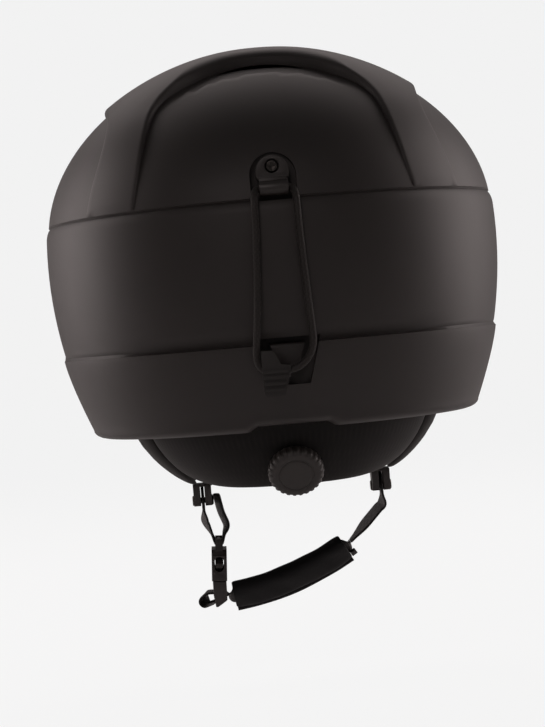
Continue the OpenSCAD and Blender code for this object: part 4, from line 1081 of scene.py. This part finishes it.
# Routes of the webbing seen from behind, x and z: left and right lower strap, and chin
LEFT_ROUTE = (
    (45, -36.8), (45, -46.3), (44.4, -48.8), (41.9, -54.6), (41.1, -57.2), (40.4, -59), (38.9, -59.8),
    (37.4, -59.1), (36.6, -57.2), (35.8, -54.2), (34.4, -50), (36.6, -43), (38.2, -34))
RIGHT_ROUTE = ((-45, -36.8), (-45, -45.8), (-42.6, -48.5), (-37.2, -54), (-31.8, -59.5), (-27.23, -64))
CHIN_ROUTE = (
    (45, -88.2), (46.6, -90), (48.6, -88.6), (48.8, -85.6), (46.8, -83.6), (43.8, -83.5), (40, -84.2),
    (36.6, -85.2), (33.2, -85.8), (24, -84.6), (14, -82.4), (4, -79.4), (-6, -75.6), (-16, -71.2),
    (-24.2, -66.6), (-27, -64.2))
# The sleeve covers the chin's route from the first to the last of these points
CHIN_FIRST, CHIN_LAST = 8, 14
# Tip of the sleeve's width out of the level, and the plane of the chin
CHIN_TILT = math.radians(38)
CHIN_Y = STRAP_Y - 1
# How far the tail loop is drawn oblique, up to this point of the route
TAIL_SLANT = math.radians(20)
TAIL_LAST = 4.3
# Width of the sleeve's closing flap, its thickness, and how far it stands out below the sleeve
FLAP_WIDTH, FLAP_THICK, FLAP_REACH = 13.0, 1.8, 7.0


def build_straps(web):
    """Lower straps: webbing along a route in x and z, with a round lug at the divider's rivet. Where it
    runs free, down to the height foot and wherever it climbs again, its width leans out of the level."""
    w = size_of("web_width")
    for name, route, foot in (("strap_left", LEFT_ROUTE, -57), ("strap_right", RIGHT_ROUTE, -64)):
        lug_top = [route[0][0], SWING_Z + w / 2]
        flat = resampled(np.vstack([[lug_top], spline(route, 6)]), 0.8)
        path = stacked(flat[:, 0], STRAP_Y, flat[:, 1])
        t = headings(path)
        rearwards = np.broadcast_to([0.0, 1.0, 0.0], path.shape)
        face = np.cross(rearwards, t)
        free = np.maximum(ease((SWING_Z - 4 - flat[:, 1]) / 6), t[:, 2] > 0)
        lean = STRAP_LEAN * free * ease((flat[:, 1] - foot) / 9) * np.sign(-t[:, 2])
        side = np.cos(lean)[:, None] * rearwards + np.sin(lean)[:, None] * face
        face = np.cross(side, t)
        s = along(path)
        lug = np.sqrt(np.clip(1 - np.clip(1 - s / (w / 2), 0, 1) ** 2, 0.02, 1))
        end = np.sqrt(np.clip(1 - np.clip(1 - (s[-1] - s) / 1.2, 0, 1) ** 2, 0.5, 1))
        obj = ribbon(name + "_webbing", path, side, face, w * lug * end, size_of("web_thick"))
        place_piece(obj, web, name)


def chin_frames(line, tilt):
    """Directions along the chin's route, across the webbing tipped by tilt, and out of its face."""
    d = headings(line)
    t = stacked(d[:, 0], 0, d[:, 1])
    u = stacked(0 * tilt, np.cos(tilt), 0 * tilt) + np.sin(tilt)[:, None] * stacked(t[:, 2], 0, -t[:, 0])
    return t, u, np.cross(u, t)


def chin_blend(obj):
    """Bakes a chin piece's placement into its mesh."""
    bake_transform(obj)


def build_chin_webbing(web):
    """Chin webbing with its tail loop, tipped by the chin's tilt where the sleeve covers it."""
    steps = 8
    line = spline(CHIN_ROUTE, steps)
    i = np.arange(len(line)) / steps
    tilt = CHIN_TILT * ease((i - CHIN_FIRST + 1.15) / 1.15) * ease((CHIN_LAST + 1 - i) / 0.9)
    _, u, v = chin_frames(line, tilt)
    path = stacked(line[:, 0], CHIN_Y, line[:, 1])
    u = unit(u + np.outer(math.tan(TAIL_SLANT) * ease((TAIL_LAST - i) / 2), [1.0, 0.0, 0.0]))
    obj = ribbon("chin_webbing_woven", path, u, v, size_of("web_width"), size_of("web_thick"))
    place_piece(obj, web, "chin_webbing", rides=False)
    chin_blend(obj)


def sleeve_line():
    """Middle of the sleeve and its directions: along, across and out of its face."""
    line = spline(CHIN_ROUTE[CHIN_FIRST:CHIN_LAST + 1], 12)
    t, u, v = chin_frames(line, np.full(len(line), CHIN_TILT))
    return stacked(line[:, 0], CHIN_Y, line[:, 1]), t, u, v


def build_sleeve(fleece):
    """Fleece sleeve: a rounded section carried along the chin, a little fuller in its middle, with soft
    ripples that run across it as waves of the distance along."""
    path, t, u, v = sleeve_line()
    share = np.linspace(-1, 1, len(path))
    full = mix(0.9, 1, np.sqrt(1 - np.abs(share) ** 8))
    sides = 40
    b = np.arange(sides) * 2 * math.pi / sides
    w, h = size_of("chin_width"), size_of("chin_thick")
    across = w / 2 * bend(np.cos(b), 0.5)[None, :] * full[:, None]
    s = along(path)[:, None]
    ripple = 1 + 0.05 * np.sin(s / 5.1 + 2 * np.sin(across / 7)) + 0.03 * np.sin(s / 2.3 + across / 3)
    out = h / 2 * bend(np.sin(b), 0.7)[None, :] * full[:, None] * ripple
    points = path[:, None] + across[..., None] * u[:, None] + out[..., None] * v[:, None]
    points[0] -= t[0] * 0.4
    points[-1] += t[-1] * 0.4
    obj = surface("chin_sleeve", points)
    rounding = obj.modifiers.new("Rounded ends", "BEVEL")
    rounding.width = 0.6 * MM
    rounding.segments = 3
    rounding.limit_method = "ANGLE"
    rounding.angle_limit = math.radians(55)
    settle(obj)
    crease(obj, 60)
    place_piece(obj, fleece, "chin_pad", rides=False)
    chin_blend(obj)


def build_flap(fleece):
    """Closing flap: lies on the sleeve's face, stands out below it and curls under by a smooth step."""
    path, _, u, v = sleeve_line()
    sides = 20
    b = np.arange(sides) * 2 * math.pi / sides
    w, h = size_of("chin_width"), size_of("chin_thick")
    across = FLAP_WIDTH / 2 * bend(np.cos(b), 0.5) - w / 2 - FLAP_REACH + FLAP_WIDTH / 2
    curl = (h / 2 + 0.2) * ease((-across - w / 2 - 0.2) / 4.6)
    out = FLAP_THICK / 2 * bend(np.sin(b), 0.7) + h / 2 + 0.3 + FLAP_THICK / 2 - curl
    wave = 0.25 * np.sin(along(path)[:, None] / 6.3)
    shift = (across[None, :] + wave)[..., None] * u[:, None]
    obj = surface("sleeve_closing_flap", path[:, None] + shift + out[None, :, None] * v[:, None])
    crease(obj, 60)
    place_piece(obj, fleece, "sleeve_flap", rides=False)
    chin_blend(obj)


def build_chin(web, fleece):
    """Chin webbing, its padded fleece sleeve, the sleeve's closing flap and the sewn tag."""
    build_chin_webbing(web)
    build_sleeve(fleece)
    build_flap(fleece)
    chin_blend(dress("sleeve_tag", web, 0.25, rides=False))


def build_hardware(nylon, steel):
    """Anchors, dividers, rivets and the side release buckle, with their edges rounded."""
    for node, width in (("strap_anchors", 0.4), ("divider_left", 0.9), ("divider_right", 0.9),
                        ("buckle_female", 0.5), ("buckle_male", 0.5), ("buckle_prongs", 0.4)):
        dress(node, nylon, width)
    dress("divider_rivets", steel, 0.2)


# Finishes


def add(tree, kind, inputs=None, **settings):
    """Adds a node to a tree with its settings, its socket values and its links from other sockets, by the
    names or numbers of its inputs."""
    node = tree.nodes.new(kind)
    for name, value in settings.items():
        setattr(node, name, value)
    for name, value in (inputs or {}).items():
        socket = node.inputs[name]
        if isinstance(value, bpy.types.NodeSocket):
            tree.links.new(value, socket)
        else:
            socket.default_value = value
    return node


def start_finish(name):
    """A new material and its empty tree."""
    material = bpy.data.materials.new(name)
    material.use_nodes = True
    material.node_tree.nodes.clear()
    return material, material.node_tree


def end_finish(tree, inputs):
    """Closes a material's tree with a principled shader that has the given values and links."""
    shader = add(tree, "ShaderNodeBsdfPrincipled", inputs)
    add(tree, "ShaderNodeOutputMaterial", {"Surface": shader.outputs[0]})


def per(size):
    """Scale of a texture that repeats about once every size mm."""
    return 1 / (size * MM)


def moulded_finish(name, dark, light, grain, rough, bump, specular=0.5):
    """Moulded plastic or rubber: grains of the mould's texture, grain mm across, and slow shifts of shade
    and gloss that are 55 mm across."""
    material, tree = start_finish(name)
    place = add(tree, "ShaderNodeTexCoord").outputs["Object"]
    slow = add(tree, "ShaderNodeTexNoise",
               {"Vector": place, "Scale": per(55), "Detail": 3.0, "Roughness": 0.5}).outputs["Fac"]
    fine = add(tree, "ShaderNodeTexNoise",
               {"Vector": place, "Scale": per(grain), "Detail": 2.0, "Roughness": 0.6}).outputs["Fac"]
    shade = add(tree, "ShaderNodeMix", {"Factor": slow, "A": dark, "B": light}, data_type="RGBA")
    gloss = add(tree, "ShaderNodeMapRange", {"Value": slow, "To Min": rough - 0.04, "To Max": rough + 0.04})
    relief = add(tree, "ShaderNodeBump", {"Height": fine, "Distance": 0.05 * MM, "Strength": bump})
    end_finish(tree, {"Base Color": shade.outputs["Result"], "Roughness": gloss.outputs[0],
                      "Normal": relief.outputs[0], "IOR": 1.5, "Specular IOR Level": specular})
    return material


def weave_finish(name, dark, light, pitch, rough, bump, slant, sheen, sheen_rough=0.4):
    """Woven or knitted threads: two waves along the piece's UV that cross at the slant on either side of
    its length, each thread pitch mm wide, with a fuzz 0.9 mm across."""
    material, tree = start_finish(name)
    coordinates = add(tree, "ShaderNodeTexCoord")
    waves = []
    for turn in (slant, -slant):
        rows = add(tree, "ShaderNodeMapping", {"Vector": coordinates.outputs["UV"],
                                               "Rotation": (0, 0, math.radians(turn))})
        # At this scale a light or dark band of the wave, half its period, is as wide as the pitch
        wave = add(tree, "ShaderNodeTexWave",
                   {"Vector": rows.outputs[0], "Scale": per(pitch) / math.tau, "Distortion": 0.4,
                    "Detail": 1.0}, wave_profile="SIN")
        waves.append(wave.outputs["Fac"])
    cross = add(tree, "ShaderNodeMath", {0: waves[0], 1: waves[1]}, operation="MULTIPLY").outputs[0]
    fuzz = add(tree, "ShaderNodeTexNoise", {"Vector": coordinates.outputs["Object"], "Scale": per(0.9),
                                            "Detail": 3.0, "Roughness": 0.7}).outputs["Fac"]
    height = add(tree, "ShaderNodeMath", {0: cross, 1: fuzz}, operation="ADD").outputs[0]
    shade = add(tree, "ShaderNodeMix", {"Factor": cross, "A": dark, "B": light}, data_type="RGBA")
    relief = add(tree, "ShaderNodeBump", {"Height": height, "Distance": 0.25 * MM, "Strength": bump})
    end_finish(tree, {"Base Color": shade.outputs["Result"], "Normal": relief.outputs[0],
                      "Roughness": rough, "Sheen Weight": sheen, "Sheen Roughness": sheen_rough,
                      "Specular IOR Level": 0.3})
    return material


def foam_finish(name, dark, light):
    """Expanded bead foam, pressed: cells 3 mm across with dark lines where the beads meet."""
    material, tree = start_finish(name)
    place = add(tree, "ShaderNodeTexCoord").outputs["Object"]
    cells = add(tree, "ShaderNodeTexVoronoi", {"Vector": place, "Scale": per(3)},
                feature="DISTANCE_TO_EDGE").outputs["Distance"]
    shade = add(tree, "ShaderNodeMix", {"Factor": cells, "A": dark, "B": light}, data_type="RGBA")
    relief = add(tree, "ShaderNodeBump", {"Height": cells, "Distance": 0.4 * MM, "Strength": 0.35})
    end_finish(tree, {"Base Color": shade.outputs["Result"], "Normal": relief.outputs[0],
                      "Roughness": 0.7})
    return material


def steel_finish(name, dark, light):
    """Black zinc screw steel, pressed: the black is worn to bare metal in patches 1.2 mm across, where
    the gloss changes too."""
    material, tree = start_finish(name)
    place = add(tree, "ShaderNodeTexCoord").outputs["Object"]
    worn = add(tree, "ShaderNodeTexNoise",
               {"Vector": place, "Scale": per(1.2), "Detail": 3.0, "Roughness": 0.5}).outputs["Fac"]
    shade = add(tree, "ShaderNodeMix", {"Factor": worn, "A": dark, "B": light}, data_type="RGBA")
    gloss = add(tree, "ShaderNodeMapRange", {"Value": worn, "To Min": 0.25, "To Max": 0.45})
    end_finish(tree, {"Base Color": shade.outputs["Result"], "Roughness": gloss.outputs[0],
                      "Metallic": 1.0})
    return material


FINISHES = {}


def make_finishes():
    """Every finish of the helmet by name, made once."""
    if FINISHES:
        return FINISHES
    c = bpy.context.scene.helmet_colours
    # Soft touch matte ABS, injection moulded: a fine spark grain, drawn 0.9 mm wide so that it shows
    FINISHES["shell"] = moulded_finish("matte_moulded_abs", c.shell_dark, c.shell_light, grain=0.9,
                                       rough=0.55, bump=0.12)
    FINISHES["foam"] = foam_finish("pressed_bead_foam", c.foam_dark, c.foam_light)
    # Brushed polyester knit over foam: soft loops 1.1 mm wide with a nap that catches light at its edge
    FINISHES["knit"] = weave_finish("brushed_polyester_knit", c.knit_dark, c.knit_light, pitch=1.1,
                                    rough=0.85, bump=0.2, slant=45, sheen=0.08)
    # Smooth stretch knit on the ear and nape pads: finer loops and a flatter face
    FINISHES["stretch"] = weave_finish("smooth_stretch_knit", c.stretch_dark, c.stretch_light, pitch=0.9,
                                       rough=0.78, bump=0.1, slant=38, sheen=0.04)
    # Short pile fleece: hardly a thread to see, a deep soft black with a faint sheen
    FINISHES["fleece"] = weave_finish("short_pile_fleece", c.fleece_dark, c.fleece_light, pitch=0.8,
                                      rough=0.95, bump=0.12, slant=30, sheen=0.04, sheen_rough=0.6)
    # Nylon webbing, woven: ribs 1.3 mm wide that cross the strap on a slant
    FINISHES["web"] = weave_finish("woven_nylon_webbing", c.web_dark, c.web_light, pitch=1.3,
                                   rough=0.55, bump=0.35, slant=62, sheen=0.06)
    # Braided elastic jacket: strands 0.8 mm wide crossing round the cord, a little paler than the shell
    FINISHES["elastic"] = weave_finish("braided_elastic_jacket", c.elastic_dark, c.elastic_light,
                                       pitch=0.8, rough=0.55, bump=0.16, slant=40, sheen=0.05)
    FINISHES["steel"] = steel_finish("black_zinc_steel", c.steel_dark, c.steel_light)
    # Thermoplastic rubber, moulded: dull with a fine grain
    FINISHES["rubber"] = moulded_finish("moulded_rubber", c.rubber_dark, c.rubber_light, grain=0.7,
                                        rough=0.62, bump=0.15, specular=0.4)
    # Acetal dial, moulded with a light texture: duller than the buckle
    FINISHES["textured"] = moulded_finish("textured_acetal", c.dial_dark, c.dial_light, grain=0.6,
                                          rough=0.48, bump=0.12)
    # Glass filled nylon, moulded: buckle, dividers and bracket with a slight gloss
    FINISHES["nylon"] = moulded_finish("moulded_glass_nylon", c.nylon_dark, c.nylon_light, grain=0.8,
                                       rough=0.42, bump=0.08)
    return FINISHES


# Stage

# The photograph's camera: focal length and the frame's long side in pixels, and how far the helmet's
# middle lies right of the frame's middle and above it
FOCAL_PIXELS = 2400
LONG_SIDE_PIXELS = 727
RIGHT_PIXELS = 5.7
ABOVE_PIXELS = 34.75
# Camera's sensor along the frame's long side, in millimetres
SENSOR = 36
HELMET_MIDDLE = Vector((0, 0, 0.046))
# The floor lies this far under the strap, so that the strap clears it when the buckle is released
FLOOR_DROP = 0.036
# The left lamp is a little weaker, as in the photograph
LEFT_LAMP_SHARE = 0.92
# Floor in millimetres: where its bow starts, the bow's radius, and the top of the wall round it
FLOOR_FLAT = 3000
FLOOR_BOW = 1800
WALL_TOP = 3500
# Linear colour of the lamps: a little warm
LAMP_COLOUR = (1.0, 0.885, 0.87)


def aim(obj, place, target, roll=0.0):
    """Puts a camera or lamp at a place, looking at a target, turned about its own axis by roll."""
    look = (Vector(target) - Vector(place)).to_track_quat("-Z", "Y").to_matrix().to_4x4()
    obj.matrix_world = Matrix.Translation(place) @ look @ Matrix.Rotation(math.radians(roll), 4, "Z")


def build_camera(settings):
    """Camera behind the helmet, leaning as the photograph's did."""
    camera = bpy.data.objects.new("camera", bpy.data.cameras.new("camera"))
    bpy.context.scene.collection.objects.link(camera)
    bpy.context.scene.camera = camera
    camera.data.lens = FOCAL_PIXELS / LONG_SIDE_PIXELS * SENSOR
    camera.data.clip_start, camera.data.clip_end = 0.01, 60
    turn = math.radians(settings.camera_turn)
    place = HELMET_MIDDLE + settings.camera_distance * Vector((math.sin(turn), math.cos(turn), 0))
    ahead = (HELMET_MIDDLE - place).normalized()
    right = ahead.cross(Vector((0, 0, 1))).normalized()
    up = right.cross(ahead)
    roll = math.radians(settings.camera_roll)
    across = right * math.cos(roll) + up * math.sin(roll)
    above = up * math.cos(roll) - right * math.sin(roll)
    off_middle = (across * RIGHT_PIXELS + above * ABOVE_PIXELS) / FOCAL_PIXELS
    aim(camera, place, place + ahead - off_middle, settings.camera_roll)


def build_floor():
    """Pale floor that curves up all round: a flat disc, a quarter circle and a wall, turned round Z."""
    bow = np.radians(np.linspace(0, 90, 33))
    curve = stacked(FLOOR_FLAT + FLOOR_BOW * np.sin(bow), FLOOR_BOW * (1 - np.cos(bow)))
    profile = np.vstack([[[1, 0], [FLOOR_FLAT / 2, 0]], curve, [[FLOOR_FLAT + FLOOR_BOW, WALL_TOP]]])
    radius, height = profile[:, :1], profile[:, 1:] + (CAD_LOW[2] - FLOOR_DROP) / MM
    t = np.arange(128) * 2 * math.pi / 128
    floor = surface("floor", stacked(radius * np.cos(t), radius * np.sin(t), height), capped=False)
    material, tree = start_finish("pale_paper_sweep")
    paper = add(tree, "ShaderNodeBsdfPrincipled", {"Base Color": hex_linear("#f4f4f4"), "Roughness": 0.9})
    glow = add(tree, "ShaderNodeEmission", {"Color": hex_linear("#f9f9f9"), "Strength": 1.0})
    rays = add(tree, "ShaderNodeLightPath")
    # What the camera sees of the floor is mostly its own glow, so that only soft shadows show on it
    seen = add(tree, "ShaderNodeMath", {0: rays.outputs["Is Camera Ray"], 1: 0.93}, operation="MULTIPLY")
    both = add(tree, "ShaderNodeMixShader", {0: seen.outputs[0], 1: paper.outputs[0], 2: glow.outputs[0]})
    add(tree, "ShaderNodeOutputMaterial", {"Surface": both.outputs[0]})
    floor.data.materials.append(material)


def build_world(settings):
    """Pale background for the camera and through clear surfaces, and a weak light from all round."""
    world = bpy.data.worlds.new("studio")
    bpy.context.scene.world = world
    world.use_nodes = True
    tree = world.node_tree
    tree.nodes.clear()
    rays = add(tree, "ShaderNodeLightPath").outputs
    seen = add(tree, "ShaderNodeMath", {0: rays["Is Camera Ray"], 1: rays["Is Transmission Ray"]},
               operation="MAXIMUM")
    strength = add(tree, "ShaderNodeMapRange", {"Value": seen.outputs[0], "To Min": settings.fill,
                                                "To Max": 1.0})
    back = add(tree, "ShaderNodeBackground", {"Color": hex_linear("#f9f9f9"),
                                              "Strength": strength.outputs[0]})
    add(tree, "ShaderNodeOutputWorld", {"Surface": back.outputs[0]})


def build_lamps(settings):
    """Soft lamps: one ahead of the helmet on each side, one over its brow and one behind the camera."""
    side, low = (0.8, 1.2), (0, 0, 0.08)
    lamps = (
        ("lamp_left", (1.1, -0.5, 0.28), low, side, LEFT_LAMP_SHARE * settings.side_light),
        ("lamp_right", (-1.14, -0.4, 0.28), low, side, settings.side_light),
        ("lamp_top", (0, -1.0, 1.05), (0, 0, 0.1), (1.6, 0.7), settings.top_light),
        ("lamp_rear", (0.5, 2.2, 1.4), (0, 0, 0.05), (0.5, 0.5), settings.rear_light),
    )
    for name, place, target, size, power in lamps:
        lamp = bpy.data.lights.new(name, "AREA")
        lamp.shape = "RECTANGLE"
        lamp.size, lamp.size_y = size
        lamp.energy = power
        lamp.color = LAMP_COLOUR
        obj = bpy.data.objects.new(name, lamp)
        bpy.context.scene.collection.objects.link(obj)
        aim(obj, place, target)


def build_stage():
    """Camera, pale floor, background and soft lamps."""
    scene = bpy.context.scene
    scene.view_settings.view_transform = "Standard"
    build_camera(scene.helmet_stage)
    build_floor()
    build_world(scene.helmet_stage)
    build_lamps(scene.helmet_stage)


# Properties, operators and panel


def length(name, description, default, low, high):
    """A length property in metres, given in millimetres."""
    return bpy.props.FloatProperty(name=name, description=description, default=default * MM, min=low * MM,
                                   max=high * MM, unit="LENGTH", subtype="DISTANCE", precision=4)


class HelmetSizes(bpy.types.PropertyGroup):
    shell_width: length("Shell width", "Width of the shell over its belt", 222, 200, 240)
    shell_length: length("Shell length", "Length of the shell from brow to nape", 276, 260, 300)
    crown_height: length("Crown height", "Height of the crown above the rear rim", 185.5, 175, 195)
    crown_lift: length("Crown lift", "How far the crown stands proud of the panels", 3, 1, 5)
    shell_wall: length("Shell wall", "Thickness of the moulded shell", 2.8, 2, 4)
    lower_crease: length("Lower crease", "Height of the lower crease at the rear", 39, 34, 44)
    upper_crease: length("Upper crease", "Height of the upper crease at the rear", 103, 98, 106)
    brow_rise: length("Brow rise", "How far the rim rises from nape to brow", 66, 55, 75)
    cavity_width: length("Cavity width", "Width of the head cavity in the foam", 158, 150, 165)
    cavity_length: length("Cavity length", "Length of the head cavity in the foam", 200, 190, 208)
    cavity_height: length("Cavity height", "Height of the head cavity's roof", 152, 145, 156)
    comfort_pad: length("Comfort pad", "Thickness of the comfort pads", 6, 3, 9)
    nape_pad: length("Nape pad", "Thickness of the nape pad", 7, 4, 9)
    ear_pad: length("Ear pad", "Thickness of the ear pads", 9, 6, 12)
    nape_drop: length("Nape drop", "Lowest point of the nape pad below the rim", 27, 22, 30)
    dial_width: length("Dial width", "Diameter of the fit dial", 26, 20, 30)
    dial_height: length("Dial height", "Height of the fit dial's knob", 6.2, 4, 8)
    cord_width: length("Cord width", "Diameter of the elastic cord", 3.2, 2.5, 4)
    web_width: length("Webbing width", "Width of the webbing", 14, 10, 18)
    web_thick: length("Webbing thickness", "Thickness of the webbing", 1.5, 1, 2)
    chin_width: length("Chin pad width", "Width of the chin pad's sleeve", 20, 16, 26)
    chin_thick: length("Chin pad thickness", "Thickness of the chin pad's sleeve", 7.5, 5, 10)


def shade(name, description, text):
    """A colour property whose default is an sRGB hex value."""
    return bpy.props.FloatVectorProperty(name=name, description=description, default=hex_linear(text),
                                         size=4, min=0, max=1, subtype="COLOR")


class HelmetColours(bpy.types.PropertyGroup):
    shell_dark: shade("Shell, dark", "Darker shade of the moulded shell", "#211c1b")
    shell_light: shade("Shell, light", "Lighter shade of the moulded shell", "#28221f")
    foam_dark: shade("Foam, dark", "Colour between the liner's beads", "#0e0e0e")
    foam_light: shade("Foam, light", "Colour in the middle of the liner's beads", "#1b1b1b")
    knit_dark: shade("Knit, dark", "Darker shade of the comfort pads' knit", "#0b0b0c")
    knit_light: shade("Knit, light", "Lighter shade of the comfort pads' knit", "#141415")
    stretch_dark: shade("Stretch knit, dark", "Darker shade of the ear and nape pads", "#191716")
    stretch_light: shade("Stretch knit, light", "Lighter shade of the ear and nape pads", "#201d1c")
    fleece_dark: shade("Fleece, dark", "Darker shade of the chin pad's sleeve", "#060607")
    fleece_light: shade("Fleece, light", "Lighter shade of the chin pad's sleeve", "#09090a")
    web_dark: shade("Webbing, dark", "Darker shade of the webbing", "#12100f")
    web_light: shade("Webbing, light", "Lighter shade of the webbing", "#1d1a18")
    elastic_dark: shade("Elastic, dark", "Darker shade of the elastic cord", "#25211f")
    elastic_light: shade("Elastic, light", "Lighter shade of the elastic cord", "#2e2a28")
    steel_dark: shade("Steel, dark", "Black coating of the screws", "#1a1918")
    steel_light: shade("Steel, light", "Worn places of the screws", "#5b5754")
    rubber_dark: shade("Rubber, dark", "Darker shade of the pull tab", "#252221")
    rubber_light: shade("Rubber, light", "Lighter shade of the pull tab", "#2c2927")
    dial_dark: shade("Dial, dark", "Darker shade of the fit dial", "#292523")
    dial_light: shade("Dial, light", "Lighter shade of the fit dial", "#312d2a")
    nylon_dark: shade("Nylon, dark", "Darker shade of the buckle, dividers and bracket", "#262221")
    nylon_light: shade("Nylon, light", "Lighter shade of the buckle, dividers and bracket", "#2f2a27")


class HelmetStage(bpy.types.PropertyGroup):
    camera_distance: bpy.props.FloatProperty(
        name="Camera distance", description="From the helmet's middle to the camera", default=1.2,
        unit="LENGTH", subtype="DISTANCE")
    camera_turn: bpy.props.FloatProperty(
        name="Camera turn", description="Degrees round the helmet from straight behind", default=1.5)
    camera_roll: bpy.props.FloatProperty(
        name="Camera roll", description="Degrees that the camera leans", default=-5.0)
    side_light: bpy.props.FloatProperty(
        name="Side light", description="Power of the right side lamp in watts", default=9)
    top_light: bpy.props.FloatProperty(
        name="Top light", description="Power of the top lamp in watts", default=5)
    rear_light: bpy.props.FloatProperty(
        name="Rear light", description="Power of the lamp behind the camera in watts", default=6)
    fill: bpy.props.FloatProperty(
        name="Fill", description="Strength of the light from all round", default=0.088)


class HELMET_OT_shell(bpy.types.Operator):
    """Build the outer shell with its crown, creases, vents and recesses"""
    bl_idname = "helmet.shell"
    bl_label = "Shell"

    def execute(self, context):
        build_shell(make_finishes()["shell"])
        return {"FINISHED"}


class HELMET_OT_liner(bpy.types.Operator):
    """Build the bead foam liner"""
    bl_idname = "helmet.liner"
    bl_label = "Foam liner"

    def execute(self, context):
        build_liner(make_finishes()["foam"])
        return {"FINISHED"}


class HELMET_OT_pads(bpy.types.Operator):
    """Build the comfort pads and the hanging ear and nape pads"""
    bl_idname = "helmet.pads"
    bl_label = "Pads"

    def execute(self, context):
        finishes = make_finishes()
        build_comfort_pads(finishes["knit"])
        build_crown_pad(finishes["knit"])
        build_nape_pad(finishes["stretch"])
        build_ear_pads(finishes["stretch"])
        return {"FINISHED"}


class HELMET_OT_dial(bpy.types.Operator):
    """Build the fit dial, its housing and its toothed bands"""
    bl_idname = "helmet.dial"
    bl_label = "Fit dial"

    def execute(self, context):
        finishes = make_finishes()
        build_dial(finishes["textured"], finishes["nylon"], finishes["steel"])
        return {"FINISHED"}


class HELMET_OT_cord(bpy.types.Operator):
    """Build the elastic cord of the goggle retainer"""
    bl_idname = "helmet.cord"
    bl_label = "Elastic cord"

    def execute(self, context):
        build_cord(make_finishes()["elastic"])
        return {"FINISHED"}


class HELMET_OT_retainer(bpy.types.Operator):
    """Build the goggle retainer's bracket, screw, catch and pull tab"""
    bl_idname = "helmet.retainer"
    bl_label = "Goggle retainer"

    def execute(self, context):
        finishes = make_finishes()
        build_retainer(finishes["nylon"], finishes["steel"], finishes["rubber"], finishes["shell"])
        return {"FINISHED"}


class HELMET_OT_straps(bpy.types.Operator):
    """Build the webbing legs and the lower straps"""
    bl_idname = "helmet.straps"
    bl_label = "Straps"

    def execute(self, context):
        build_legs(make_finishes()["web"])
        build_straps(make_finishes()["web"])
        return {"FINISHED"}


class HELMET_OT_chin(bpy.types.Operator):
    """Build the chin webbing, its padded sleeve, the closing flap and the tag"""
    bl_idname = "helmet.chin"
    bl_label = "Chin pad"

    def execute(self, context):
        build_chin(make_finishes()["web"], make_finishes()["fleece"])
        return {"FINISHED"}


class HELMET_OT_hardware(bpy.types.Operator):
    """Build the anchors, dividers, rivets and buckle"""
    bl_idname = "helmet.hardware"
    bl_label = "Hardware"

    def execute(self, context):
        build_hardware(make_finishes()["nylon"], make_finishes()["steel"])
        return {"FINISHED"}


class HELMET_OT_stage(bpy.types.Operator):
    """Build the floor, the lamps, the background and the camera"""
    bl_idname = "helmet.stage"
    bl_label = "Stage"

    def execute(self, context):
        build_stage()
        return {"FINISHED"}


OPERATORS = (HELMET_OT_stage, HELMET_OT_shell, HELMET_OT_liner, HELMET_OT_pads, HELMET_OT_dial,
             HELMET_OT_cord, HELMET_OT_retainer, HELMET_OT_straps, HELMET_OT_chin, HELMET_OT_hardware)


class HELMET_PT_panel(bpy.types.Panel):
    """Sizes of the helmet and a button for each of its pieces"""
    bl_idname = "HELMET_PT_panel"
    bl_label = "Snow helmet"
    bl_space_type = "VIEW_3D"
    bl_region_type = "UI"
    bl_category = "Helmet"

    def draw(self, context):
        scene = context.scene
        for group in (scene.helmet_sizes, scene.helmet_colours, scene.helmet_stage):
            column = self.layout.column(align=True)
            for name in group.__annotations__:
                column.prop(group, name)
        for operator in OPERATORS:
            self.layout.operator(operator.bl_idname)


CLASSES = (HelmetSizes, HelmetColours, HelmetStage, *OPERATORS, HELMET_PT_panel)


def register():
    for item in CLASSES:
        bpy.utils.register_class(item)
    bpy.types.Scene.helmet_sizes = bpy.props.PointerProperty(type=HelmetSizes)
    bpy.types.Scene.helmet_colours = bpy.props.PointerProperty(type=HelmetColours)
    bpy.types.Scene.helmet_stage = bpy.props.PointerProperty(type=HelmetStage)


def unregister():
    del bpy.types.Scene.helmet_stage
    del bpy.types.Scene.helmet_colours
    del bpy.types.Scene.helmet_sizes
    for item in reversed(CLASSES):
        bpy.utils.unregister_class(item)


def main():
    """Builds the stage and every piece."""
    register()
    for operator in OPERATORS:
        group, name = operator.bl_idname.split(".")
        if getattr(getattr(bpy.ops, group), name)() != {"FINISHED"}:
            raise RuntimeError(f"{operator.bl_label} was not built")


if __name__ == "__main__":
    main()
